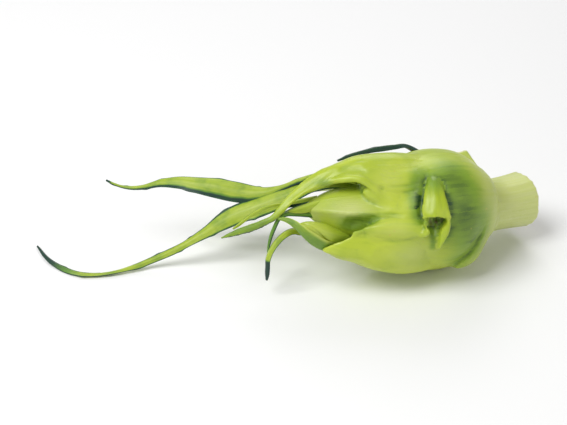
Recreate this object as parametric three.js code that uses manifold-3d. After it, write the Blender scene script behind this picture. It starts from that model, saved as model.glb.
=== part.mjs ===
// One puntarella: the fat side shoot of a Catalogna chicory, as picked and laid on its side. The swollen
// stem lies on the floor with its cut base to the right and back (+X, +Y) and its pointed tip to the left
// (-X). Fleshy leaf bases clasp the tip, and narrow leaves fan out past it.
// Every piece is one closed solid. Millimetres, +Z up, floor at Z = 0.

import * as THREE from 'three';
import { mergeVertices } from 'three/addons/utils/BufferGeometryUtils.js';
import Module from 'manifold-3d';

const GAP = 0.3;            // clearance round the stem and the buds, where other pieces grow out of them
const LEAF_GAP = 0.5;       // clearance round a leaf, larger because a cupped leaf's sides are steep
const STEM_SIDES = 28;      // faces round the stem
const STEM_RINGS = 34;      // rings along it
const RIDGES = 5;           // blunt ribs round the stem
const RIDGE_HEIGHT = 0.022; // rib height as a share of the radius
const PRESSED_IN = 0.14;    // how much flatter its lower right is, as a share of the radius
const RIDGE_ANGLE = 0.5;    // where the tip's ridge lies, from the near side towards the top
const CHANNEL_DEPTH = 0.3;  // depth of the channel down a cut leaf stalk, as a share of its radius
const LEAF_SPANS = 4;       // faces across a leaf
const LEAF_EDGE = 0.7;      // thickness of a leaf's margin
const STEPS_PER_ROW = 2;    // rings of a leaf or bud for each of its rows
const BUD_SIDES = 12;
const POINT_RADIUS = 0.3;   // bluntness of a pointed end
const FLOOR_SIZE = 400;     // side of the block that flattens what would sink below the floor
const FLOOR_DEPTH = 20;
const WELD = 1e-4;          // corners closer than this are one corner

// The hollow in the cut base: rings inside its rim, as shares of the rim's size, and how deep each lies.
const SCAR = [
  { size: 0.88, depth: 0.3 },
  { size: 0.4, depth: 1.3 },
  { size: 0.15, depth: 4 },
];

// The stem's centre line from the tip to the cut base, and its radius there.
const STEM = [
  { at: [-36.6, -0.8, 31], radius: 0.4 },
  { at: [-34.4, -0.5, 31.1], radius: 2.3 },
  { at: [-30.8, -0.2, 31], radius: 4.9 },
  { at: [-25.4, 0, 30.6], radius: 7.9 },
  { at: [-18, 0.3, 29.8], radius: 10 },
  { at: [-10, 1.4, 28.4], radius: 12.6 },
  { at: [-3, 3.6, 26.8], radius: 17.2 },
  { at: [5, 6.3, 25.2], radius: 22.1 },
  { at: [14, 9.4, 24.3], radius: 24.7 },
  { at: [24, 12.9, 23.4], radius: 24.1 },
  { at: [31, 15.4, 22], radius: 20.6 },
  { at: [35, 17.6, 20.8], radius: 16 },
  { at: [38.5, 20, 19.8], radius: 12 },
  { at: [44, 23.6, 18.2], radius: 11 },
  { at: [51, 28, 16.8], radius: 11.2 },
  { at: [58, 32.4, 15.6], radius: 11.8 },
];

const UP = [0, 0.35, 0.94];
const DOWN_FRONT = [0, -0.76, -0.65];
const BOAT_FACE = [-0.05, -0.96, -0.28];
const STRAP_FACE = [-0.3, -0.5, 0.8];
const STRAP_END = [-0.3, -0.75, 0.58];
const SIDE = [0.4, -0.77, -0.5];
const BACK = [0, 0.97, 0.26];
const BACK_LOW = [-0.05, 0.9, -0.42];
const LEFT_FACE = [-0.25, -0.6, 0.76];

// Each leaf is a list of places along its midrib. face is the way its outer side looks, and cup is how far
// its margins fall back from the midrib.
const FLESHY_LEAVES = {
  // the broad leaf whose fleshy base hoods the tip, and whose strap lies over the other leaves
  hood_leaf: [
    { at: [14, 16, 42], width: 26, thick: 8, cup: 6, face: UP },
    { at: [4, 13, 45.6], width: 29, thick: 7, cup: 9, face: UP },
    { at: [-5, 10.6, 47.2], width: 28, thick: 6.4, cup: 9.4, face: UP },
    { at: [-13, 8.4, 47.8], width: 21.5, thick: 5.4, cup: 3.4, face: [0, 0.2, 0.97] },
    { at: [-19.5, 6, 46.8], width: 14, thick: 4.8, cup: 1.4, face: [-0.1, 0.05, 0.97] },
    { at: [-24, 4.6, 46], width: 8.8, thick: 4.2, cup: 0.5, face: [-0.15, -0.1, 0.96] },
    { at: [-28.2, 3, 44.4], width: 7.2, thick: 3.3, cup: -0.4, face: STRAP_FACE },
    { at: [-32.6, 1.4, 42.1], width: 6.6, thick: 2.7, cup: -1.1, face: STRAP_FACE },
    { at: [-36.8, -0.4, 39.6], width: 5.6, thick: 2.3, cup: -1.1, face: STRAP_FACE },
    { at: [-41, -3, 37.1], width: 4.8, thick: 2, cup: -0.9, face: STRAP_FACE },
    { at: [-44.8, -5.6, 33.8], width: 4, thick: 1.8, cup: -0.5, face: STRAP_END },
    { at: [-47.6, -7, 31.4], width: 3.4, thick: 1.6, cup: -0.2, face: STRAP_END },
    { at: [-51.2, -7.4, 29.5], width: 3.6, thick: 1.5, cup: 0.2, face: STRAP_END },
    { at: [-55.8, -7, 27], width: 4, thick: 1.4, cup: 0.4, face: STRAP_END },
    { at: [-61.3, -6.4, 24.5], width: 3.6, thick: 1.3, cup: 0.4, face: STRAP_END },
    { at: [-65.7, -6, 22.4], width: 2.4, thick: 1.2, cup: 0.2, face: STRAP_END },
    { at: [-69.3, -5.8, 20.7], width: 1, thick: 1, cup: 0, face: STRAP_END },
  ],
  // the short fleshy leaf base that holds the lower front of the tip
  front_leaf_base: [
    { at: [13, -7.6, 11.8], width: 29, thick: 9, cup: 8, face: DOWN_FRONT },
    { at: [4, -12, 13], width: 28.5, thick: 8, cup: 8, face: [0, -0.8, -0.6] },
    { at: [-4, -14, 15.4], width: 26, thick: 7, cup: 6.6, face: [0, -0.88, -0.48] },
    { at: [-8.4, -14.8, 17.6], width: 23.5, thick: 6.4, cup: 5, face: [0, -0.92, -0.38] },
    { at: [-12, -15, 19.4], width: 20, thick: 5.4, cup: 3.6, face: BOAT_FACE },
    { at: [-16, -15, 19.9], width: 16.6, thick: 4.6, cup: 2.6, face: BOAT_FACE },
    { at: [-20, -14.8, 20], width: 13, thick: 3.8, cup: 1.8, face: BOAT_FACE },
    { at: [-23.5, -14.4, 20.5], width: 8.8, thick: 3, cup: 1, face: BOAT_FACE },
    { at: [-26.2, -14, 20.7], width: 4.4, thick: 2.2, cup: 0.4, face: BOAT_FACE },
    { at: [-28.2, -13.6, 20.5], width: 1.2, thick: 1.4, cup: 0, face: BOAT_FACE },
  ],
  // the sheath that wraps the right front of the swelling and ends in a torn point
  side_sheath: [
    { at: [43, 14.4, 15], width: 8, thick: 3.4, cup: 1, face: SIDE },
    { at: [39.8, 8.2, 14.5], width: 12, thick: 3.8, cup: 1.6, face: SIDE },
    { at: [36.9, 2.7, 13.4], width: 15, thick: 4, cup: 2, face: SIDE },
    { at: [33.1, -4.1, 11.8], width: 15, thick: 3.8, cup: 2, face: SIDE },
    { at: [28.9, -6.8, 10.4], width: 11, thick: 3.2, cup: 1, face: SIDE },
    { at: [23.8, -8, 10], width: 2, thick: 1.8, cup: 0, face: SIDE },
  ],
  // the long leaf of the back, and the short leaf base under it
  back_leaf: [
    { at: [22, 33, 28], width: 16, thick: 6, cup: 4, face: BACK },
    { at: [12, 33, 30], width: 19, thick: 6, cup: 5, face: BACK },
    { at: [0, 27.6, 31.6], width: 17, thick: 5, cup: 4.6, face: BACK },
    { at: [-10, 22, 32.4], width: 12, thick: 3.4, cup: 2.6, face: BACK },
    { at: [-22, 20.4, 30.4], width: 8, thick: 2.2, cup: 1.2, face: [-0.1, 0.85, 0.5] },
    { at: [-36, 21.6, 26], width: 6, thick: 1.8, cup: 0.8, face: [0, 0.6, 0.8] },
    { at: [-50, 23.6, 19.6], width: 5.4, thick: 1.7, cup: 0.7, face: [0.1, 0.5, 0.86] },
    { at: [-62, 25, 13], width: 4.4, thick: 1.6, cup: 0.5, face: [0.1, 0.5, 0.86] },
    { at: [-72, 26.4, 6.4], width: 2.8, thick: 1.5, cup: 0.3, face: [0.1, 0.5, 0.86] },
    { at: [-79, 27.4, 2], width: 1, thick: 1.2, cup: 0, face: [0.1, 0.5, 0.86] },
  ],
  back_leaf_base: [
    { at: [40, 34, 12.6], width: 10, thick: 4, cup: 2, face: BACK_LOW },
    { at: [30, 36, 12], width: 17, thick: 5, cup: 4, face: BACK_LOW },
    { at: [19, 36.4, 12.2], width: 18, thick: 5, cup: 4, face: BACK_LOW },
    { at: [8, 34.4, 13.4], width: 14, thick: 4, cup: 2.6, face: BACK_LOW },
    { at: [-1, 31.4, 15.2], width: 8, thick: 2.8, cup: 1, face: BACK_LOW },
    { at: [-8, 29, 17.4], width: 1.4, thick: 1.4, cup: 0, face: BACK_LOW },
  ],
};

// The thin leaves and scales.
const LEAVES = {
  // the long pale leaf with dark margins, which droops to the floor at the far left
  broad_leaf: [
    { at: [-14, 6.4, 37.4], width: 5, thick: 1.8, cup: 0.8, face: [0, 0.2, 0.97] },
    { at: [-22, 7.6, 38.6], width: 5.4, thick: 1.6, cup: 0.8, face: [0, 0, 1] },
    { at: [-30.8, 8, 37.6], width: 6, thick: 1.5, cup: 0.8, face: [-0.2, -0.3, 0.93] },
    { at: [-36.4, 9, 34.8], width: 6.8, thick: 1.4, cup: 0.8, face: [-0.25, -0.5, 0.83] },
    { at: [-42.6, 9.5, 31.4], width: 8.2, thick: 1.4, cup: 0.8, face: LEFT_FACE },
    { at: [-49.4, 9.5, 28.5], width: 9.2, thick: 1.3, cup: 0.9, face: LEFT_FACE },
    { at: [-56.2, 9.2, 25.7], width: 9.4, thick: 1.3, cup: 0.9, face: LEFT_FACE },
    { at: [-63, 8.8, 23.2], width: 8.8, thick: 1.3, cup: 0.8, face: LEFT_FACE },
    { at: [-69.4, 8.2, 19.6], width: 7.4, thick: 1.2, cup: 0.7, face: LEFT_FACE },
    { at: [-75.8, 7.5, 15.2], width: 5.2, thick: 1.2, cup: 0.6, face: LEFT_FACE },
    { at: [-82.7, 6.2, 11], width: 3.8, thick: 1.2, cup: 0.5, face: LEFT_FACE },
    { at: [-90.3, 5, 7], width: 3.2, thick: 1.2, cup: 0.4, face: LEFT_FACE },
    { at: [-98.3, 3.4, 3.9], width: 2.8, thick: 1.2, cup: 0.2, face: LEFT_FACE },
    { at: [-107, 0.6, 1.9], width: 2.5, thick: 1.1, cup: 0.2, face: [0, -0.3, 0.95] },
    { at: [-116.4, -2.2, 1.1], width: 2.4, thick: 1.1, cup: 0.2, face: [0, 0, 1] },
    { at: [-126, -2.6, 0.9], width: 2.6, thick: 1.1, cup: 0.1, face: [0, 0, 1] },
    { at: [-135, 1.8, 0.9], width: 2.6, thick: 1, cup: 0.1, face: [0, 0, 1] },
    { at: [-142.4, 9.2, 0.9], width: 2, thick: 1, cup: 0.1, face: [0, 0, 1] },
    { at: [-148, 18.4, 0.8], width: 1, thick: 0.9, cup: 0, face: [0, 0, 1] },
  ],
  // the leaf that comes out behind the hood and thins to a dark strand
  upper_leaf: [
    { at: [-14, 10, 38.6], width: 5, thick: 2, cup: 1.2, face: [0, 0.4, 0.9] },
    { at: [-21, 10, 42.6], width: 4.4, thick: 1.8, cup: 1, face: [0, 0.1, 0.99] },
    { at: [-27, 10.4, 42], width: 3.2, thick: 1.6, cup: 0.6, face: [-0.1, 0, 0.99] },
    { at: [-33.1, 11.5, 39.2], width: 2.8, thick: 1.5, cup: 0.4, face: [-0.2, -0.3, 0.93] },
    { at: [-38.7, 12.5, 36.4], width: 2.8, thick: 1.4, cup: 0.4, face: [-0.3, -0.4, 0.86] },
    { at: [-45.5, 13.2, 32.8], width: 3.4, thick: 1.3, cup: 0.5, face: STRAP_FACE },
    { at: [-51.2, 13.8, 30.4], width: 5.2, thick: 1.3, cup: 0.7, face: [-0.1, -0.6, 0.8] },
    { at: [-56.9, 14.5, 29.7], width: 7.6, thick: 1.3, cup: 1, face: [0, -0.6, 0.8] },
    { at: [-63.7, 15.5, 30.1], width: 8.8, thick: 1.3, cup: 1.1, face: [0, -0.65, 0.75] },
    { at: [-71.7, 17, 30.9], width: 8.4, thick: 1.3, cup: 0.9, face: [0, -0.7, 0.7] },
    { at: [-79.9, 19, 31.2], width: 7.2, thick: 1.3, cup: 0.7, face: [0, -0.6, 0.8] },
    { at: [-86.8, 20.5, 31.4], width: 5.8, thick: 1.2, cup: 0.5, face: [0, -0.5, 0.86] },
    { at: [-94.5, 22, 30], width: 3.4, thick: 1.2, cup: 0.3, face: [0, -0.5, 0.86] },
    { at: [-102.4, 23.2, 27.4], width: 2.2, thick: 1.1, cup: 0.2, face: [0, -0.5, 0.86] },
    { at: [-109, 24, 26.6], width: 1.7, thick: 1, cup: 0.1, face: [0, -0.5, 0.86] },
    { at: [-114, 24.6, 27.8], width: 1.3, thick: 1, cup: 0.1, face: [0, -0.5, 0.86] },
    { at: [-117.6, 25, 29.6], width: 1, thick: 0.9, cup: 0, face: [0, -0.5, 0.86] },
  ],
  // narrow leaves of the fan at the tip
  fan_leaf_1: [
    { at: [-30, 3.4, 34.6], width: 2.2, thick: 1.5, cup: 0.2, face: [0, -0.2, 0.97] },
    { at: [-38.6, 3, 32.9], width: 1.8, thick: 1.3, cup: 0.2, face: [-0.2, -0.4, 0.9] },
    { at: [-42.9, 1, 33.1], width: 1.6, thick: 1.2, cup: 0.1, face: LEFT_FACE },
    { at: [-47.2, -0.5, 33.4], width: 1.6, thick: 1.1, cup: 0.2, face: LEFT_FACE },
    { at: [-51, -1.5, 32.8], width: 1.7, thick: 1.1, cup: 0.2, face: LEFT_FACE },
    { at: [-54.6, -2, 31], width: 1.6, thick: 1.1, cup: 0.2, face: LEFT_FACE },
    { at: [-57.9, -2.6, 28.6], width: 1.4, thick: 1, cup: 0.1, face: LEFT_FACE },
    { at: [-61.6, -3.2, 25.6], width: 1.2, thick: 1, cup: 0.1, face: LEFT_FACE },
    { at: [-63.8, -3.6, 24], width: 1, thick: 0.9, cup: 0, face: LEFT_FACE },
  ],
  fan_leaf_2: [
    { at: [-29, -2.6, 30], width: 2.6, thick: 1.5, cup: 0.3, face: [0, -0.7, 0.7] },
    { at: [-38.4, -4, 31.6], width: 2.4, thick: 1.3, cup: 0.3, face: [0, -0.6, 0.8] },
    { at: [-42.7, -5, 32], width: 2.2, thick: 1.3, cup: 0.3, face: [-0.3, -0.6, 0.7] },
    { at: [-45.4, -6.2, 30.6], width: 2, thick: 1.2, cup: 0.2, face: [-0.6, -0.6, 0.4] },
    { at: [-47, -7.6, 28], width: 1.9, thick: 1.2, cup: 0.2, face: [-0.7, -0.6, 0.2] },
    { at: [-48.5, -8.8, 24.4], width: 1.8, thick: 1.1, cup: 0.2, face: [-0.7, -0.6, 0.1] },
    { at: [-49.4, -9.6, 20.4], width: 1.5, thick: 1, cup: 0.1, face: [-0.7, -0.6, 0] },
    { at: [-49.8, -10, 17], width: 1, thick: 0.9, cup: 0, face: [-0.7, -0.6, 0] },
  ],
  fan_leaf_3: [
    { at: [-20, 8, 29], width: 4, thick: 1.6, cup: 0.4, face: [0, 0, 1] },
    { at: [-32, 10.6, 27.6], width: 4, thick: 1.3, cup: 0.5, face: [0, 0, 1] },
    { at: [-44, 13, 25], width: 4.2, thick: 1.3, cup: 0.5, face: [0, -0.1, 0.99] },
    { at: [-56, 14.6, 21], width: 4, thick: 1.2, cup: 0.5, face: [0.1, -0.2, 0.97] },
    { at: [-66, 15.6, 15.6], width: 3, thick: 1.1, cup: 0.3, face: [0.2, -0.2, 0.95] },
    { at: [-74, 16.4, 9.6], width: 1, thick: 0.9, cup: 0, face: [0.2, -0.2, 0.95] },
  ],
  // the small leaf that curls down in front, beside the hood leaf's end
  curled_leaf: [
    { at: [-24, -1, 23], width: 3, thick: 1.6, cup: 0.3, face: [0, -0.4, 0.9] },
    { at: [-31, -1.4, 21.8], width: 3, thick: 1.4, cup: 0.4, face: [0, -0.5, 0.86] },
    { at: [-36.4, -2.6, 22], width: 3, thick: 1.4, cup: 0.4, face: [-0.1, -0.6, 0.8] },
    { at: [-39.4, -5, 24], width: 3, thick: 1.3, cup: 0.4, face: [-0.2, -0.6, 0.75] },
    { at: [-42.4, -8, 24.8], width: 3, thick: 1.3, cup: 0.4, face: [-0.4, -0.6, 0.7] },
    { at: [-45.6, -11, 23.6], width: 3, thick: 1.3, cup: 0.4, face: [-0.6, -0.6, 0.5] },
    { at: [-48.4, -13.4, 20.4], width: 3, thick: 1.2, cup: 0.3, face: [-0.7, -0.6, 0.3] },
    { at: [-49.9, -14.8, 16.6], width: 2.8, thick: 1.2, cup: 0.3, face: [-0.7, -0.7, 0.1] },
    { at: [-50, -15, 13], width: 2.4, thick: 1.3, cup: 0.2, face: [-0.6, -0.8, 0] },
    { at: [-50.1, -15, 9.8], width: 2.2, thick: 1.4, cup: 0.1, face: [-0.6, -0.8, 0] },
    { at: [-50.3, -15, 7], width: 1, thick: 1, cup: 0, face: [-0.6, -0.8, 0] },
  ],
  // pointed scales at the very tip and round the side bud
  tip_bract_upper: [
    { at: [-26.6, -1, 35.6], width: 3.6, thick: 1.8, cup: 0.8, face: [-0.1, -0.2, 0.97] },
    { at: [-31.4, -2, 34.8], width: 4.2, thick: 1.7, cup: 1.1, face: [-0.3, -0.4, 0.87] },
    { at: [-35.4, -3, 33.8], width: 4, thick: 1.6, cup: 1.1, face: [-0.4, -0.5, 0.76] },
    { at: [-39, -4, 33.2], width: 2.6, thick: 1.4, cup: 0.5, face: [-0.4, -0.5, 0.76] },
    { at: [-41.6, -4.6, 33], width: 1, thick: 0.9, cup: 0, face: [-0.4, -0.5, 0.76] },
  ],
  tip_bract_lower: [
    { at: [-26, 4.4, 29], width: 6, thick: 1.8, cup: 1.2, face: [-0.1, 0.9, -0.3] },
    { at: [-33, 5.6, 28.6], width: 5, thick: 1.4, cup: 0.9, face: [-0.3, 0.9, -0.2] },
    { at: [-40, 5.4, 27], width: 3, thick: 1.3, cup: 0.3, face: [-0.2, 0.9, 0] },
    { at: [-47, 4.6, 24], width: 1, thick: 0.9, cup: 0, face: [-0.2, 0.9, 0] },
  ],
  side_bud_bract: [
    { at: [-17, -5, 16.6], width: 6, thick: 1.8, cup: 1, face: [0, -0.5, -0.86] },
    { at: [-22.8, -8.6, 17.4], width: 8, thick: 1.7, cup: 2, face: [-0.2, -0.7, -0.7] },
    { at: [-27.4, -11.6, 19.8], width: 8.6, thick: 1.6, cup: 2.6, face: [-0.4, -0.75, -0.5] },
    { at: [-31.4, -13.2, 23], width: 8.4, thick: 1.5, cup: 2.6, face: [-0.6, -0.7, -0.4] },
    { at: [-34.8, -13.6, 26.6], width: 7, thick: 1.4, cup: 2, face: [-0.7, -0.65, -0.2] },
    { at: [-37.4, -13, 29.8], width: 4.8, thick: 1.3, cup: 1.1, face: [-0.7, -0.65, 0.1] },
    { at: [-39.8, -11.6, 31.8], width: 3, thick: 1.2, cup: 0.5, face: [-0.6, -0.65, 0.4] },
    { at: [-42.6, -10.2, 32.6], width: 2, thick: 1.1, cup: 0.2, face: [-0.4, -0.7, 0.6] },
    { at: [-45.6, -9.2, 32.4], width: 1, thick: 0.9, cup: 0, face: [-0.4, -0.7, 0.6] },
  ],
  // the small dark leaf that lies over the top of the hood
  top_leaf: [
    { at: [20.6, 26.4, 36.4], width: 5, thick: 2, cup: 1, face: [0, 0.7, 0.7] },
    { at: [8.5, 28.2, 43.6], width: 4, thick: 1.6, cup: 0.7, face: [0, 0.5, 0.86] },
    { at: [1.6, 25.2, 45.6], width: 3.4, thick: 1.4, cup: 0.5, face: [0, 0.1, 0.99] },
    { at: [-5, 21.8, 46.6], width: 3, thick: 1.3, cup: 0.4, face: [0, -0.2, 0.97] },
    { at: [-10.8, 18.6, 47], width: 2.6, thick: 1.2, cup: 0.3, face: [0, -0.3, 0.95] },
    { at: [-16.4, 15.8, 46.8], width: 2, thick: 1.1, cup: 0.2, face: [0, -0.3, 0.95] },
    { at: [-21.8, 13, 46], width: 1, thick: 0.9, cup: 0, face: [0, -0.3, 0.95] },
  ],
};

// Buds are spindles with a round section.
const BUDS = {
  side_bud: [
    { at: [-18, -7, 21.6], radius: 2.6 },
    { at: [-23, -8.6, 23.4], radius: 3.5 },
    { at: [-28, -9.6, 26], radius: 3.9 },
    { at: [-32, -10.2, 28], radius: 3.4 },
    { at: [-35, -10.4, 29.2], radius: 2.4 },
    { at: [-37, -10.4, 29.8], radius: 1.2 },
    { at: [-38, -10.2, 30], radius: 0.4 },
  ],
  back_bud: [
    { at: [8, 27, 20], radius: 2.6 },
    { at: [1, 28.2, 22.4], radius: 3.8 },
    { at: [-6, 26.8, 24.4], radius: 3.2 },
    { at: [-11, 25.4, 26], radius: 1.6 },
    { at: [-13, 24.8, 26.6], radius: 0.4 },
  ],
};

// The front leaf stalk, cut off short: a flat flap whose torn skin hangs on as a strip beside a torn, open
// hole, and the round stalk cut off at the back.
const CUT_STALK = [
  { at: [15, 3, 42.5], width: 3.4, thick: 4, cup: 0.3, face: [0, -0.3, 0.95] },
  { at: [15.3, -1.8, 45.2], width: 6, thick: 4.2, cup: 0.4, face: [0, -0.45, 0.9] },
  { at: [15.6, -5.7, 44], width: 8.6, thick: 4.4, cup: 0.6, face: [0, -0.6, 0.8] },
  { at: [15.9, -9.6, 42], width: 10.6, thick: 4.6, cup: 1, face: [0, -0.75, 0.65] },
  { at: [16.1, -12.9, 39.2], width: 12.4, thick: 4.8, cup: 1.3, face: [0, -0.86, 0.5] },
  { at: [16.5, -15.3, 35.8], width: 12.2, thick: 4.8, cup: 1.4, face: [0, -0.93, 0.36] },
  { at: [17.6, -16, 31.6], width: 8.4, thick: 4.2, cup: 0.8, face: [0.1, -0.96, 0.2] },
  { at: [18, -16.9, 27], width: 4, thick: 3, cup: 0.4, face: [0.1, -0.98, 0] },
  { at: [16.6, -16.8, 21], width: 1, thick: 1, cup: 0, face: [0, -0.98, -0.1] },
];
const TORN_HOLE = [
  { at: [15.6, -14.4, 36], width: 5, thick: 2, cup: 0.2, face: [0, -0.93, 0.36] },
  { at: [15.8, -16, 33.6], width: 6, thick: 3.4, cup: 0.2, face: [0, -0.96, 0.2] },
  { at: [15.2, -18, 31], width: 4.4, thick: 3, cup: 0.2, face: [0, -0.97, 0.2] },
];
const BACK_STALK = [
  { at: [34.4, 27.6, 23.4], radius: 9.4 },
  { at: [32.8, 33.6, 26.8], radius: 7.4 },
  { at: [31.2, 38, 29.2], radius: 6.4 },
  { at: [29.6, 42, 31], radius: 6 },
];

const DARK_LEAVES = ['top_leaf', 'fan_leaf_3'];
const COLOURS = {
  stem: 0xb9cc6a,
  fleshy: 0xb4c757,
  blade: 0x8fb353,
  dark_blade: 0x2f6b45,
  bud: 0xc0c95c,
};

const wasm = await Module();
wasm.setup();

const vector = (numbers) => new THREE.Vector3(...numbers);

// Values between the rows of a list, on the same smooth curve for every column.
function along(rows, share, read) {
  const columns = rows.map((row) => vector([read(row), 0, 0]));
  return new THREE.CatmullRomCurve3(columns, false, 'catmullrom', 0.5).getPoint(share).x;
}

function midline(rows) {
  return new THREE.CatmullRomCurve3(rows.map((row) => vector(row.at)), false, 'catmullrom', 0.5);
}

// A closed body from rings of equal length, each end closed by a fan round its middle.
function loft(rings) {
  const count = rings[0].length;
  const points = rings.flat();
  const middle = (ring) => ring.reduce((sum, p) => sum.add(p), new THREE.Vector3()).divideScalar(count);
  const first = points.push(middle(rings[0])) - 1;
  const last = points.push(middle(rings.at(-1))) - 1;
  const triangles = [];
  for (let ring = 0; ring < rings.length - 1; ring++) {
    for (let i = 0; i < count; i++) {
      const a = ring * count + i;
      const b = ring * count + (i + 1) % count;
      triangles.push(a, a + count, b, b, a + count, b + count);
    }
  }
  const end = (rings.length - 1) * count;
  for (let i = 0; i < count; i++) {
    const next = (i + 1) % count;
    triangles.push(first, i, next);
    triangles.push(last, end + next, end + i);
  }
  return outward(points, triangles);
}

// A geometry whose faces point out, whichever way its rings were listed.
function outward(points, triangles) {
  let volume = 0;
  for (let i = 0; i < triangles.length; i += 3) {
    const [a, b, c] = [points[triangles[i]], points[triangles[i + 1]], points[triangles[i + 2]]];
    volume += a.dot(new THREE.Vector3().crossVectors(b, c));
  }
  if (volume < 0) {
    triangles.reverse();
  }
  const geometry = new THREE.BufferGeometry();
  geometry.setAttribute('position', new THREE.Float32BufferAttribute(points.flatMap((p) => p.toArray()), 3));
  geometry.setIndex(triangles);
  return geometry;
}

// Rows with their ends moved out along the midrib, for a body grown on every side.
function lengthened(rows, grow) {
  const ends = midline(rows);
  const start = ends.getTangent(0).multiplyScalar(-grow).add(vector(rows[0].at));
  const finish = ends.getTangent(1).multiplyScalar(grow).add(vector(rows.at(-1).at));
  const first = { ...rows[0], at: start.toArray() };
  const last = { ...rows.at(-1), at: finish.toArray() };
  return [first, ...rows.slice(1, -1), last];
}

const round = () => 1;

// A round body along its centre line. shape turns an angle and a share of the length into a radius factor.
function spindle(rows, sides, steps, shape, grow = 0) {
  const grown = grow ? lengthened(rows, grow) : rows;
  const curve = midline(grown);
  const rings = [];
  for (let step = 0; step <= steps; step++) {
    const share = step / steps;
    const centre = curve.getPoint(share);
    const ahead = curve.getTangent(share);
    const side = new THREE.Vector3().crossVectors(ahead, new THREE.Vector3(0, 0, 1)).normalize();
    const lift = new THREE.Vector3().crossVectors(side, ahead);
    const radius = Math.max(along(grown, share, (row) => row.radius), POINT_RADIUS) + grow;
    const ring = [];
    for (let i = 0; i < sides; i++) {
      const angle = i / sides * 2 * Math.PI;
      const reach = radius * shape(angle, share);
      ring.push(centre.clone().addScaledVector(side, reach * Math.cos(angle))
        .addScaledVector(lift, reach * Math.sin(angle)));
    }
    rings.push(ring);
  }
  return rings;
}

// The rings of a leaf: a crescent section carried along the midrib.
function leafRings(rows, grow = 0) {
  const grown = grow ? lengthened(rows, grow) : rows;
  const curve = midline(grown);
  const steps = (grown.length - 1) * STEPS_PER_ROW;
  const rings = [];
  for (let step = 0; step <= steps; step++) {
    const share = step / steps;
    const centre = curve.getPoint(share);
    const ahead = curve.getTangent(share);
    const face = vector([0, 1, 2].map((axis) => along(grown, share, (row) => row.face[axis])));
    face.addScaledVector(ahead, -face.dot(ahead)).normalize();
    const across = new THREE.Vector3().crossVectors(ahead, face);
    const ungrown = along(grown, share, (row) => row.width) / 2;
    const half = ungrown + grow;
    const thick = Math.max(along(grown, share, (row) => row.thick), LEAF_EDGE);
    const cup = along(grown, share, (row) => row.cup) * (half / ungrown) ** 2;
    const place = (s, upper) => {
      const depth = (LEAF_EDGE + (thick - LEAF_EDGE) * (1 - s * s)) / 2 + grow;
      return centre.clone().addScaledVector(across, s * half)
        .addScaledVector(face, upper * depth - cup * s * s);
    };
    const ring = [];
    for (let i = 0; i <= LEAF_SPANS; i++) {
      ring.push(place(2 * i / LEAF_SPANS - 1, 1));
    }
    for (let i = LEAF_SPANS; i >= 0; i--) {
      ring.push(place(2 * i / LEAF_SPANS - 1, -1));
    }
    rings.push(ring);
  }
  return rings;
}

function solid(geometry) {
  const bare = geometry.clone();
  bare.deleteAttribute('normal');
  bare.deleteAttribute('uv');
  const merged = mergeVertices(bare, WELD);
  return new wasm.Manifold(new wasm.Mesh({
    numProp: 3,
    vertProperties: new Float32Array(merged.attributes.position.array),
    triVerts: new Uint32Array(merged.index.array),
  }));
}

// The largest body that is left of a geometry once the cutters are taken away.
function carve(geometry, cutters) {
  let left = solid(geometry);
  for (const cutter of cutters) {
    left = left.subtract(cutter);
  }
  const bodies = left.decompose().sort((a, b) => b.volume() - a.volume());
  const mesh = bodies[0].getMesh();
  const carved = new THREE.BufferGeometry();
  carved.setAttribute('position', new THREE.Float32BufferAttribute(mesh.vertProperties, 3));
  carved.setIndex(Array.from(mesh.triVerts));
  return carved;
}

// The stem's ribs fade out towards the pointed tip, which has a ridge between two flat faces in front. The
// lower right is flatter, where the shoot lay against its neighbours.
function ribs(angle, share) {
  const blunt = RIDGE_HEIGHT * Math.min(1, share * 2) * Math.cos(RIDGES * angle + 1.2);
  const { smoothstep } = THREE.MathUtils;
  const tip = smoothstep(share, -0.02, 0.1) * (1 - smoothstep(share, 0.3, 0.5));
  const around = Math.atan2(Math.sin(angle - RIDGE_ANGLE), Math.cos(angle - RIDGE_ANGLE));
  const flat = 0.9 / Math.max(Math.cos(Math.abs(around) - 0.75), 0.6);
  const low = Math.atan2(Math.sin(angle + 0.35), Math.cos(angle + 0.35));
  const pressed = PRESSED_IN * Math.exp(-(((share - 0.68) / 0.075) ** 2) - (low / 0.8) ** 2);
  return 1 + blunt + tip * Math.exp(-((around / 0.9) ** 2)) * (flat - 1) - pressed;
}

// The back stalk is channelled along its upper side.
function channelled(angle) {
  return 1 - CHANNEL_DEPTH * Math.exp(-(((angle - Math.PI / 2) / 0.6) ** 2));
}

// The cut base: the last ring turned in to a shallow hollow.
function withScar(rings) {
  const rim = rings.at(-1);
  const middle = rim.reduce((sum, p) => sum.add(p), new THREE.Vector3()).divideScalar(rim.length);
  const inward = rings.at(-2)[0].clone().sub(rim[0]).normalize();
  const hollow = SCAR.map(({ size, depth }) => rim.map((p) => p.clone().lerp(middle, 1 - size)
    .addScaledVector(inward, depth)));
  return [...rings, ...hollow];
}

const group = new THREE.Group();

function add(name, geometry, colour) {
  const faceted = geometry.toNonIndexed();
  faceted.computeVertexNormals();
  const material = new THREE.MeshStandardMaterial({ color: colour, roughness: 0.45, metalness: 0 });
  const mesh = new THREE.Mesh(faceted, material);
  mesh.name = name;
  group.add(mesh);
}

const floorBlock = new THREE.BoxGeometry(FLOOR_SIZE, FLOOR_SIZE, FLOOR_DEPTH);
const taken = [solid(floorBlock.translate(0, 0, -FLOOR_DEPTH / 2))];

// Adds a piece, cut clear of the floor and of every piece before it. grown is the piece with its clearance.
function grow(name, rings, grown, colour, hollow = []) {
  add(name, carve(loft(rings), [...taken, ...hollow]), colour);
  taken.push(solid(loft(grown)));
}

function growLeaf(name, rows, colour, hollow) {
  grow(name, leafRings(rows), leafRings(rows, LEAF_GAP), colour, hollow);
}

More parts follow.
